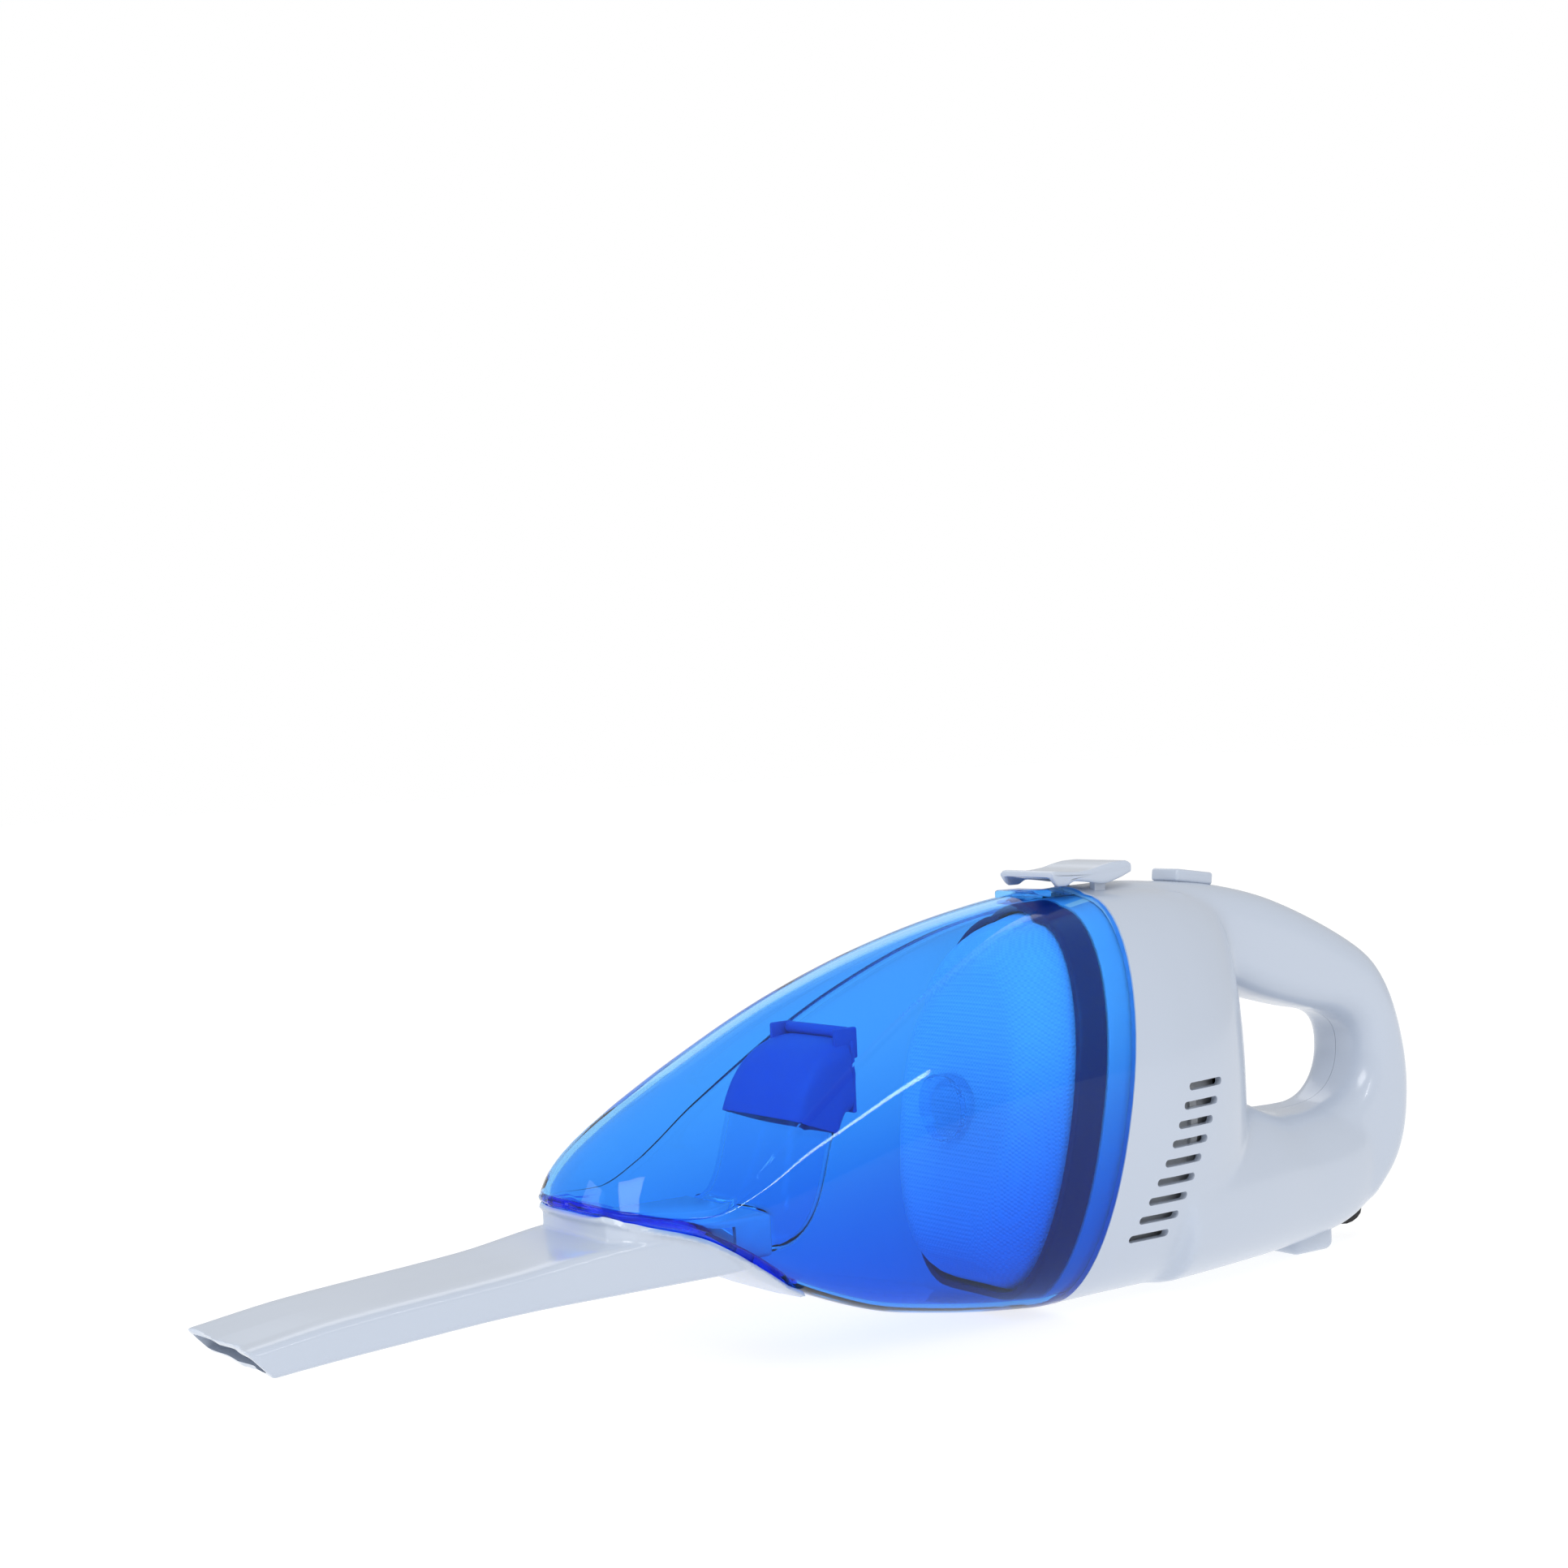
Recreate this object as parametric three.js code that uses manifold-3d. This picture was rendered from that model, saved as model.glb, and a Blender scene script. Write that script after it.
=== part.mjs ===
// Handheld car vacuum: crevice nozzle, clear dust bowl, motor housing with loop handle.
// Millimetres. X runs from the nozzle (-X) to the handle (+X), Y across, Z up, floor at Z = 0.
import * as THREE from 'three';
import { mergeVertices } from 'three/examples/jsm/utils/BufferGeometryUtils.js';
import Module from 'manifold-3d';

const wasm = await Module();
wasm.setup();

// ---- driving dimensions -------------------------------------------------
const NOSE_X = -157;            // front of the dust bowl
const JOINT_X = -2.8;           // bowl/housing joint at mid height
const JOINT_Z = 57.7;           // height of the middle of the joint
const JOINT_SLOPE = 0.2;        // how far the joint leans back per mm of height
const TIP_X = -246;             // front of the crevice nozzle
const HALF_WIDTH = 37;          // half the body width at the joint
const BODY_TOP = 112.7;         // top of the body at the joint
const WALL = 2.2;               // shell thickness of bowl and housing
const GAP = 0.3;                // running and parting clearance
const HANDLE_WIDTH = 27;        // thickness of the handle loop
const HANDLE_ROUND = 8;         // edge rounding of the handle loop
const HANDLE_WALL = 2.35;       // shell thickness of the handle
const VENT_COUNT = 9;
const VENT_LENGTH = 14.4;
const VENT_HEIGHT = 2.1;
const VENT_TOP = [24.1, 59.1];  // centre of the highest vent (X, Z)
const VENT_LOW = [5.2, 20.1];   // centre of the lowest vent
const AXIS_Z = 50;              // motor and fan axis
const FAN_RADIUS = 27;
const FAN_X = 8;                // front of the impeller
const FAN_DEPTH = 10.5;
const SHAFT_RADIUS = 1.5;
const CAN_RADIUS = 15;
const CAN_X = 25.5;
const CAN_LENGTH = 20;
const NOZZLE_WALL = 1.4;
const PLUG_Z = 35.9;            // centre height of the inlet
const PLUG_HALF_H = 5.2;
const PLUG_HALF_W = 19;
const DUCT_WALL = 1.4;
const LATCH_X = 13;             // latch pivot
const LATCH_Z = 116.2;
const LATCH_HALF_W = 11;
const PIN_RADIUS = 1.1;
const CATCH_TOP = 112.8;        // top of the bowl's catch tab, under the latch
const SLIDER_X = 53.5;          // switch slider
const SLIDER_Z = 110.3;
const SLIDER_TILT = 0.15;
const SWITCH_TRAVEL = 4;
const WELD = 0.004;             // points closer than this are one point
const SLIVER = 0.05;            // smallest loose volume that counts as a piece

const white = 0xe9edf2;
const paint = (color, roughness = 0.35, metalness = 0) =>
  new THREE.MeshStandardMaterial({ color, roughness, metalness });

// ---- solids ---------------------------------------------------------------
function solid(geometry) {
  const bare = geometry.clone();
  bare.deleteAttribute('normal');
  bare.deleteAttribute('uv');
  const merged = mergeVertices(bare, 1e-4);
  const kept = [];
  const index = merged.index.array;
  for (let i = 0; i < index.length; i += 3) {
    const [a, b, c] = [index[i], index[i + 1], index[i + 2]];
    if (a !== b && b !== c && c !== a) kept.push(a, b, c);
  }
  return new wasm.Manifold(new wasm.Mesh({
    numProp: 3,
    vertProperties: new Float32Array(merged.attributes.position.array),
    triVerts: new Uint32Array(kept),
  }));
}

const join = (...parts) => parts.reduce((a, b) => a.add(b));
const cut = (base, ...tools) => tools.reduce((a, b) => a.subtract(b), base);

// Gives each point the index of the first point within reach of it.
function weld(at) {
  const cells = new Map();
  const count = at.length / 3;
  const target = [];
  for (let i = 0; i < count; i += 1) {
    const [x, y, z] = [at[3 * i], at[3 * i + 1], at[3 * i + 2]];
    const cell = [x, y, z].map((v) => Math.round(v / WELD));
    let found = -1;
    for (let n = 0; n < 27 && found < 0; n += 1) {
      const key = [cell[0] + (n % 3) - 1, cell[1] + (Math.floor(n / 3) % 3) - 1, cell[2] + Math.floor(n / 9) - 1];
      const near = cells.get(key.join());
      if (near !== undefined && Math.hypot(at[3 * near] - x, at[3 * near + 1] - y, at[3 * near + 2] - z) < WELD) found = near;
    }
    if (found < 0) cells.set(cell.join(), i);
    target.push(found < 0 ? i : found);
  }
  return target;
}

// Triangles of a body, welded, less any flat sliver that cutting leaves loose.
function geometryOf(body) {
  const mesh = body.getMesh();
  const at = mesh.vertProperties;
  const target = weld(at);
  const tri = [];
  for (let i = 0; i < mesh.triVerts.length; i += 3) {
    const [a, b, c] = [target[mesh.triVerts[i]], target[mesh.triVerts[i + 1]], target[mesh.triVerts[i + 2]]];
    if (a !== b && b !== c && c !== a) tri.push(a, b, c);
  }
  const owner = target.map((_, i) => i);
  const find = (i) => {
    let top = i;
    while (owner[top] !== top) top = owner[top];
    owner[i] = top;
    return top;
  };
  for (let i = 0; i < tri.length; i += 3) {
    owner[find(tri[i + 1])] = find(tri[i]);
    owner[find(tri[i + 2])] = find(tri[i]);
  }
  const volume = new Map();
  const point = (i) => new THREE.Vector3(at[3 * i], at[3 * i + 1], at[3 * i + 2]);
  for (let i = 0; i < tri.length; i += 3) {
    const share = point(tri[i]).dot(point(tri[i + 1]).cross(point(tri[i + 2]))) / 6;
    volume.set(find(tri[i]), (volume.get(find(tri[i])) ?? 0) + share);
  }
  const kept = [];
  for (let i = 0; i < tri.length; i += 3) {
    if (Math.abs(volume.get(find(tri[i]))) > SLIVER) kept.push(tri[i], tri[i + 1], tri[i + 2]);
  }
  const out = new THREE.BufferGeometry();
  out.setAttribute('position', new THREE.BufferAttribute(at, 3));
  out.setIndex(kept);
  out.computeVertexNormals();
  return out;
}

// Smooth value along X through a few stations, flat beyond both ends, never overshooting.
function line(stations) {
  const n = stations.length;
  const steps = stations.slice(1).map(([x, v], i) => (v - stations[i][1]) / (x - stations[i][0]));
  const slope = stations.map((_, i) => {
    if (i === 0) return steps[0];
    if (i === n - 1) return steps[n - 2];
    const [a, b] = [steps[i - 1], steps[i]];
    return a * b <= 0 ? 0 : (2 * a * b) / (a + b);
  });
  return (x) => {
    if (x <= stations[0][0]) return stations[0][1];
    if (x >= stations[n - 1][0]) return stations[n - 1][1];
    const i = stations.findIndex(([s]) => s > x) - 1;
    const [x0, v0] = stations[i];
    const [x1, v1] = stations[i + 1];
    const h = x1 - x0;
    const t = (x - x0) / h;
    return v0 * (1 + 2 * t) * (1 - t) ** 2 + slope[i] * h * t * (1 - t) ** 2
      + v1 * t * t * (3 - 2 * t) + slope[i + 1] * h * t * t * (t - 1);
  };
}

// Solid through closed rings of equal point count, fanned shut at both ends.
function loft(rings) {
  const count = rings[0].length;
  const position = rings.flat().flatMap((p) => [p.x, p.y, p.z]);
  const index = [];
  for (let r = 0; r < rings.length - 1; r += 1) {
    for (let i = 0; i < count; i += 1) {
      const j = (i + 1) % count;
      const [a, b] = [r * count + i, r * count + j];
      index.push(a, a + count, b, b, a + count, b + count);
    }
  }
  const ends = [rings[0], rings[rings.length - 1]];
  ends.forEach((ring, e) => {
    const centre = ring.reduce((s, p) => s.add(p), new THREE.Vector3()).divideScalar(count);
    const hub = position.length / 3;
    position.push(centre.x, centre.y, centre.z);
    const base = e === 0 ? 0 : (rings.length - 1) * count;
    for (let i = 0; i < count; i += 1) {
      const j = (i + 1) % count;
      if (e === 0) index.push(hub, base + i, base + j);
      else index.push(hub, base + j, base + i);
    }
  });
  const out = new THREE.BufferGeometry();
  out.setAttribute('position', new THREE.Float32BufferAttribute(position, 3));
  out.setIndex(index);
  return solid(out);
}

const range = (from, to, count) =>
  Array.from({ length: count + 1 }, (_, i) => from + ((to - from) * i) / count);

function box(x0, x1, y0, y1, z0, z1) {
  const geometry = new THREE.BoxGeometry(x1 - x0, y1 - y0, z1 - z0);
  geometry.translate((x0 + x1) / 2, (y0 + y1) / 2, (z0 + z1) / 2);
  return solid(geometry);
}

// Cylinder or cone along X, Y or Z starting at a point.
function rod(axis, start, length, radius, radiusEnd = radius, sides = 14) {
  const geometry = new THREE.CylinderGeometry(radiusEnd, radius, length, sides);
  geometry.translate(0, length / 2, 0);
  if (axis === 'x') geometry.rotateZ(-Math.PI / 2);
  if (axis === 'z') geometry.rotateX(Math.PI / 2);
  geometry.translate(...start);
  return solid(geometry);
}

// Side outline (X, Z) given thickness across Y, centred on Y = 0.
function plate(shape, width, bevel = 0, offset = 0, segments = 4) {
  const geometry = new THREE.ExtrudeGeometry(shape, {
    depth: width - 2 * bevel,
    bevelEnabled: bevel > 0,
    bevelThickness: bevel,
    bevelSize: bevel,
    bevelOffset: -bevel - offset,
    bevelSegments: segments,
    curveSegments: 3,
  });
  geometry.translate(0, 0, -(width - 2 * bevel) / 2);
  geometry.rotateX(Math.PI / 2);
  return solid(geometry);
}

const splineShape = (points, samples) =>
  new THREE.SplineCurve(points.map(([x, z]) => new THREE.Vector2(x, z))).getSpacedPoints(samples);

// ---- body surface -----------------------------------------------------------
const roof = line([[NOSE_X, 51], [-154, 56.5], [-150, 60.8], [-139.4, 68.4], [-117.5, 80.2],
  [-87.6, 93.4], [-55, 103.6], [-30, 109], [-10, 111.8], [8, BODY_TOP]]);
const floor = line([[NOSE_X, 47.5], [-150, 44.5], [-131, 38.5], [-112, 26.4], [-92.6, 17.2],
  [-72.5, 10.2], [-58, 7.2], [-38, 4], [-21, 2.1]]);
const broad = line([[NOSE_X, 7], [-155, 13], [-150, 20], [-140, 24.5], [-128, 27.8], [-112, 30.2],
  [-80, 33.6], [-50, 35.6], [-20, HALF_WIDTH - 0.3], [0, HALF_WIDTH]]);
const broadZ = line([[NOSE_X, 48.5], [-150, 46.5], [-131, 43], [-112, 42], [-80, 48], [-50, 54],
  [-10, JOINT_Z]]);
const creaseY = line([[NOSE_X, 6.3], [-155, 12.4], [-150, 19.3], [-140, 23.6], [-118, 26.6],
  [-101, 24.5], [-58, 19.5], [-20, 12.5], [8, 9]]);
const creaseZ = line([[NOSE_X, 49], [-150, 47.5], [-131, 46], [-118, 51], [-101, 64], [-58, 90.5],
  [-20, 106.2], [8, BODY_TOP - 1.6]]);
const keelY = line([[NOSE_X, 4], [-150, 12], [-112, 17], [-60, 12], [0, 10]]);

const ARCH_ANGLE = 1.1;
const ARCH_STEPS = 3;
const SIDE_STEPS = 5;
const bodySize = { roof, floor, broad, broadZ, creaseY, creaseZ, keelY };

// One closed cross-section at x, drawn from size(at) and pulled in by inset.
function ring(x, at, inset, size) {
  const half = [];
  const top = size.roof(at) - inset;
  const low = size.floor(at) + inset;
  const wide = size.broad(at) - inset;
  const mid = size.broadZ(at);
  const cy = Math.min(size.creaseY(at) - 0.6 * inset, wide - 0.2);
  const cz = size.creaseZ(at) - 0.8 * inset;
  const ky = Math.min(size.keelY(at), wide * 0.6);
  const arch = (a) => (Math.cos(a) - Math.cos(ARCH_ANGLE)) / (1 - Math.cos(ARCH_ANGLE));
  for (let i = 0; i < ARCH_STEPS; i += 1) {
    const a = (ARCH_ANGLE * i) / ARCH_STEPS;
    half.push([(cy * Math.sin(a)) / Math.sin(ARCH_ANGLE), cz + (top - cz) * arch(a)]);
  }
  for (let i = 0; i < SIDE_STEPS; i += 1) {
    const a = (Math.PI / 2) * (i / SIDE_STEPS);
    half.push([cy + (wide - cy) * Math.sin(a), mid + (cz - mid) * Math.cos(a)]);
  }
  for (let i = 0; i <= SIDE_STEPS; i += 1) {
    const a = (Math.PI / 2) * (i / SIDE_STEPS);
    half.push([ky + (wide - ky) * Math.cos(a) ** 0.8, mid - (mid - low) * Math.sin(a) ** 0.8]);
  }
  const other = half.slice(1).reverse().map(([y, z]) => [-y, z]);
  return [...half, ...other].map(([y, z]) => new THREE.Vector3(x, y, z));
}

const bodyStations = [-157, -156, -154, -150, -145, -139, -131, -122, -112, -101, -88, -73, -58,
  -42, -28, -14, 0, 8];

// Bowl-shaped solid: the outer surface, or one pulled in all round by inset.
function bowlSolid(inset, rear = 14) {
  const rings = bodyStations.filter((x) => x + inset < rear - 2).map((x) => ring(x + inset, x, inset, bodySize));
  rings.push(ring(rear, rear - inset, inset, bodySize));
  return loft(rings);
}

// Everything ahead of (or behind) the leaning joint plane, shifted by a distance along X.
function besideJoint(shift, ahead) {
  const reach = 400;
  const geometry = new THREE.BoxGeometry(reach, reach, reach);
  geometry.translate(ahead ? -reach / 2 : reach / 2, 0, 0);
  geometry.rotateY(Math.atan(JOINT_SLOPE));
  geometry.translate(JOINT_X + shift, 0, JOINT_Z);
  return solid(geometry);
}

// ---- housing ------------------------------------------------------------------
const housingSize = {
  ...bodySize,
  roof: line([[8, BODY_TOP], [25, BODY_TOP + 0.2], [40, 111.8], [50, 109.6], [56, 104], [60, 96]]),
  floor: line([[-16, 2.1], [28, 2.4], [50, 2.8], [56, 4], [60, 8]]),
  broad: line([[-16, HALF_WIDTH - 0.2], [0, HALF_WIDTH], [8, HALF_WIDTH], [25, HALF_WIDTH - 2],
    [40, HALF_WIDTH - 6.5], [50, HALF_WIDTH - 13], [56, HALF_WIDTH - 20], [60, HALF_WIDTH - 26]]),
  creaseZ: line([[8, BODY_TOP - 1.6], [25, BODY_TOP - 2], [50, 106.5], [60, 92]]),
  broadZ: () => JOINT_Z,
};
const baseSize = {
  roof: line([[20, 52], [60, 50], [80, 44], [100, 43.5], [113, 46], [118, 44]]),
  floor: line([[20, 2.5], [60, 3], [80, 3.6], [100, 5.6], [112, 9.6], [118, 15]]),
  broad: line([[20, 33.5], [40, 30.5], [60, 26.5], [80, 21.5], [100, 17], [113, 12.8], [118, 8]]),
  broadZ: () => 24,
  creaseY: line([[20, 9], [118, 5]]),
  creaseZ: line([[20, 50], [60, 48], [80, 42.5], [100, 42], [113, 44.5], [118, 42]]),
  keelY: line([[20, 12], [118, 4]]),
};

function housingLoft(size, from, to, inset) {
  const count = 9;
  return loft(range(from, to, count).map((x) => {
    const at = from + (x - from) * ((to - from + inset) / (to - from));
    return ring(x, at, inset, size);
  }));
}

const handleLoop = [
  ...splineShape([[30, 110.5], [38, 111.6], [47, 111.2], [61.7, 108.9], [78.4, 104.4], [98, 96.2],
    [114.6, 87.1], [122.3, 79.5], [127.7, 69], [131.2, 55], [131.7, 42.4], [129.6, 30.3],
    [124.6, 20.6], [115.5, 11.8]], 30),
  new THREE.Vector2(104, 8),
  new THREE.Vector2(70, 8),
  new THREE.Vector2(30, 12),
];
const gripPoints = [[54.8, 83], [60, 81.4], [74, 75.8], [90, 71.4], [104, 68.2], [110.8, 62.5],
  [110.4, 52], [104, 44.6], [92, 41.8], [74, 42.6], [62.5, 47], [58.6, 56], [56.2, 70], [54.4, 80]];
const gripLoop = splineShape([...gripPoints, gripPoints[0]], 28).slice(0, -1);

// A closed clockwise outline grown outward by a distance (inward when negative).
const grown = (loop, by) => loop.map((p, i) => {
  const before = loop[(i + loop.length - 1) % loop.length];
  const after = loop[(i + 1) % loop.length];
  const along = after.clone().sub(before).normalize();
  return new THREE.Vector2(p.x - along.y * by, p.y + along.x * by);
});

// Stack of grown outlines (X, Z) at given Y positions.
const stack = (loop, levels) =>
  loft(levels.map(([y, by]) => grown(loop, by).map((p) => new THREE.Vector3(p.x, -y, p.y))));
const gripHole = stack(gripLoop, [[-45, 0], [45, 0]]);
const gripKeepOut = stack(gripLoop, [[-45, WALL], [45, WALL]]);

// Handle loop: rounded slab less an opening whose edges flare towards both faces.
function handleSolid(inset) {
  const half = HANDLE_WIDTH / 2 - inset;
  const radius = HANDLE_ROUND - inset;
  const steps = range(0, Math.PI / 2, 3);
  const edge = (sign) => steps.map((a) => [half - radius + radius * Math.sin(a), sign * radius * (1 - Math.cos(a))]);
  const both = (upper) => [...upper.map(([y, g]) => [-y, g]).reverse(), ...upper];
  const slab = stack(handleLoop, both(edge(-1).map(([y, g]) => [y, g - inset])));
  const flare = [...edge(1).map(([y, g]) => [y, g + inset]), [half + 1, radius + inset]];
  return cut(slab, stack(gripLoop, both(flare)));
}

const footBar = (() => {
  const outline = new THREE.Shape();
  outline.moveTo(80, 6);
  outline.lineTo(82, 1.2);
  outline.quadraticCurveTo(82.4, 0, 84, 0);
  outline.lineTo(94, 0);
  outline.quadraticCurveTo(95.6, 0, 96.4, 1.4);
  outline.lineTo(99, 8);
  outline.lineTo(80, 8);
  outline.closePath();
  return plate(outline, 21, 1, 0, 2);
})();

const housingOuter = cut(
  join(housingLoft(housingSize, -16, 60, 0), housingLoft(baseSize, 20, 118, 0),
    handleSolid(0), footBar),
  gripHole,
).intersect(besideJoint(GAP / 2, false));

const housingInner = cut(
  join(housingLoft(housingSize, -18, 57.6, WALL), housingLoft(baseSize, 22, 115.4, WALL),
    handleSolid(HANDLE_WALL).intersect(box(45, 200, -30, 30, 0, 200))),
  gripKeepOut,
);

const screwSpots = [[120.8, 48], [86, 87], [101, 26], [33, 100]];
const SCREW_HEAD = 2.6;
const BOSS_RADIUS = 3.6;

const bosses = screwSpots.map(([x, z]) => rod('y', [x, -60, z], 120, BOSS_RADIUS));

// The latch stands on two lugs that rise from the housing.
const LUG_Y = 7.4;
const lugOutline = (() => {
  const outline = new THREE.Shape();
  outline.moveTo(LATCH_X - 3.4, BODY_TOP - 1.5);
  outline.lineTo(LATCH_X - 2.2, LATCH_Z);
  outline.absarc(LATCH_X, LATCH_Z, 2.2, Math.PI, 0, true);
  outline.lineTo(LATCH_X + 3.4, BODY_TOP - 1.5);
  outline.closePath();
  return outline;
})();
const lugs = [-1, 1].map((s) => {
  const lug = plate(lugOutline, 2.4);
  return lug.translate([0, s * LUG_Y, 0]);
});

// Fan bulkhead slot, switch slot, latch spring seat and cord exit are cut through both halves.
const slotTilt = Math.atan(SLIDER_TILT);
function tilted(body) {
  return body.rotate([0, (slotTilt * 180) / Math.PI, 0]).translate([SLIDER_X, 0, SLIDER_Z]);
}
const switchSlot = tilted(box(-5.5, 5.5, -1.6, 1.6, -4, 6));
const glandHole = rod('x', [0, 0, 0], 30, 3.4).rotate([0, 50, 0]).translate([96, 0, 28]);
const vents = range(0, 1, VENT_COUNT - 1).map((t) => {
  const x = VENT_TOP[0] + (VENT_LOW[0] - VENT_TOP[0]) * t;
  const z = VENT_TOP[1] + (VENT_LOW[1] - VENT_TOP[1]) * t;
  const r = VENT_HEIGHT / 2;
  const outline = new THREE.Shape();
  outline.absarc(x - VENT_LENGTH / 2 + r, z, r, Math.PI / 2, (3 * Math.PI) / 2);
  outline.absarc(x + VENT_LENGTH / 2 - r, z, r, -Math.PI / 2, Math.PI / 2);
  outline.closePath();
  return plate(outline, 90);
});

// Two ledges inside the housing hold the fan bulkhead between them.
const BULKHEAD_X = 21;
const BULKHEAD_THICK = 2.4;
const BULKHEAD_RADIUS = 32;
const ledges = [BULKHEAD_X - 2.4, BULKHEAD_X + BULKHEAD_THICK + 0.4].map((x) => cut(
  box(x, x + 2, -50, 50, AXIS_Z - 34, AXIS_Z + 34),
  rod('x', [x - 1, 0, AXIS_Z], 4, 30.5, 30.5, 24),
));
const cavity = cut(housingInner, ...ledges, ...bosses);
const housingShell = cut(join(cut(housingOuter, cavity), ...lugs), switchSlot, glandHole, ...vents,
  rod('y', [LATCH_X, -20, LATCH_Z], 40, PIN_RADIUS + 0.15));

function housingHalf(side) {
  const keep = side < 0 ? box(-200, 200, -80, -GAP / 2, -10, 200) : box(-200, 200, GAP / 2, 80, -10, 200);
  const drills = screwSpots.flatMap(([x, z]) => {
    const pilot = rod('y', [x, -7.5, z], 8, 1.35);
    const clear = rod('y', [x, -1, z], 40, 1.7);
    const counterbore = rod('y', [x, 4, z], 40, SCREW_HEAD + 0.3);
    return side < 0 ? [pilot] : [clear, counterbore];
  });
  return cut(housingShell.intersect(keep), ...drills);
}

// ---- parts list -----------------------------------------------------------------
const root = new THREE.Group();
root.name = 'car_vacuum';
function add(name, body, material) {
  const mesh = new THREE.Mesh(geometryOf(body), material);
  mesh.name = name;
  root.add(mesh);
}

add('housing_left', housingHalf(-1), paint(white, 0.28));
add('housing_right', housingHalf(1), paint(white, 0.28));
screwSpots.forEach(([x, z], i) => {
  const head = rod('y', [x, 4 + 0.2, z], 1.8, SCREW_HEAD);
  const shank = rod('y', [x, -6.5, z], 11, 1.1);
  const cross = join(box(x - 1.5, x + 1.5, 5.2, 8, z - 0.3, z + 0.3), box(x - 0.3, x + 0.3, 5.2, 8, z - 1.5, z + 1.5));
  add(`screw_${i + 1}`, cut(join(head, shank), cross), paint(0x8c9096, 0.3, 0.9));
});

// Fan chamber: front grille, bulkhead, impeller.
const GRILLE_INSET = WALL + 0.4;
const grilleBlank = bowlSolid(GRILLE_INSET, 20).intersect(besideJoint(1, false)).intersect(besideJoint(3.4, true));
const grilleSlots = [];
[9, 18].forEach((radius, row) => {
  const count = 6 + 6 * row;
  for (let i = 0; i < count; i += 1) {
    const a = (2 * Math.PI * i) / count;
    grilleSlots.push(rod('x', [-30, radius * Math.cos(a), AXIS_Z + radius * Math.sin(a)], 60, 2.6, 2.6, 8));
  }
});
add('intake_grille', cut(grilleBlank, ...grilleSlots), paint(0xdfe4ea, 0.4));

const bulkhead = cut(
  rod('x', [BULKHEAD_X, 0, AXIS_Z], BULKHEAD_THICK, BULKHEAD_RADIUS, BULKHEAD_RADIUS, 32),
  rod('x', [BULKHEAD_X - 1, 0, AXIS_Z], 5, 4.6),
  ...[0, 1, 2, 3, 4, 5].map((i) => {
    const a = (i + 0.5) * (Math.PI / 3);
    return rod('x', [BULKHEAD_X - 1, 22 * Math.cos(a), AXIS_Z + 22 * Math.sin(a)], 5, 4);
  }),
);
add('motor_bulkhead', bulkhead, paint(0xd4d9df, 0.45));

const VANES = 9;
const hub = rod('x', [FAN_X, 0, AXIS_Z], FAN_DEPTH, 5.5, 6.5);
const fanDisc = rod('x', [FAN_X + FAN_DEPTH - 1.4, 0, AXIS_Z], 1.4, FAN_RADIUS, FAN_RADIUS, 36);
const vaneShape = new THREE.Shape();
vaneShape.moveTo(0, 4.5);
vaneShape.quadraticCurveTo(5.5, 14, 3, FAN_RADIUS - 0.6);
vaneShape.lineTo(1.7, FAN_RADIUS - 0.6);
vaneShape.quadraticCurveTo(4.2, 14, -1.2, 4.5);
vaneShape.closePath();
const vaneGeometry = new THREE.ExtrudeGeometry(vaneShape, {
  depth: FAN_DEPTH - 1.6,
  bevelEnabled: false,
  curveSegments: 4,
});
vaneGeometry.rotateY(Math.PI / 2);
const vaneBody = solid(vaneGeometry);
const vanes = range(0, VANES - 1, VANES - 1).map((i) =>
  vaneBody.rotate([(360 * i) / VANES, 0, 0]).translate([FAN_X + 0.6, 0, AXIS_Z]));
const shaftBore = rod('x', [-20, 0, AXIS_Z], 90, SHAFT_RADIUS + 0.15);
add('impeller', cut(join(hub, fanDisc, ...vanes), shaftBore), paint(0x3a3f45, 0.5));
add('impeller_nut', cut(rod('x', [FAN_X - 3, 0, AXIS_Z], 2.7, 3, 3, 6), shaftBore), paint(0xb9a36a, 0.3, 0.9));

// Motor.
const canEnd = CAN_X + CAN_LENGTH;
const can = cut(
  rod('x', [CAN_X, 0, AXIS_Z], CAN_LENGTH, CAN_RADIUS, CAN_RADIUS, 32),
  rod('x', [CAN_X + 1, 0, AXIS_Z], CAN_LENGTH, CAN_RADIUS - 1, CAN_RADIUS - 1, 32),
  rod('x', [CAN_X - 1, 0, AXIS_Z], 4, 3.2),
);
const boss0 = cut(rod('x', [CAN_X - 1.6, 0, AXIS_Z], 2.4, 4.2), rod('x', [CAN_X - 3, 0, AXIS_Z], 6, 2));
add('motor_can', join(can, boss0), paint(0xa9afb5, 0.3, 0.85));
[-1, 1].forEach((s) => {
  const name = s < 0 ? 'magnet_left' : 'magnet_right';
  const shellRing = cut(
    rod('x', [CAN_X + 3, 0, AXIS_Z], 14, CAN_RADIUS - 1.2, CAN_RADIUS - 1.2, 32),
    rod('x', [CAN_X + 2, 0, AXIS_Z], 16, CAN_RADIUS - 4, CAN_RADIUS - 4, 32),
  );
  const side = s < 0 ? box(0, 90, -30, -3, 0, 100) : box(0, 90, 3, 30, 0, 100);
  add(name, shellRing.intersect(side), paint(0x45484c, 0.6, 0.2));
});
const cap = cut(
  rod('x', [canEnd + 0.2, 0, AXIS_Z], 6, CAN_RADIUS - 0.2, CAN_RADIUS - 1, 32),
  rod('x', [canEnd, 0, AXIS_Z], 4.6, 11.6, 11.6, 40),
  shaftBore,
  box(canEnd + 4, canEnd + 8, 7.6, 9.4, AXIS_Z - 1.8, AXIS_Z + 1.8),
  box(canEnd + 4, canEnd + 8, -9.4, -7.6, AXIS_Z - 1.8, AXIS_Z + 1.8),
);
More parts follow.
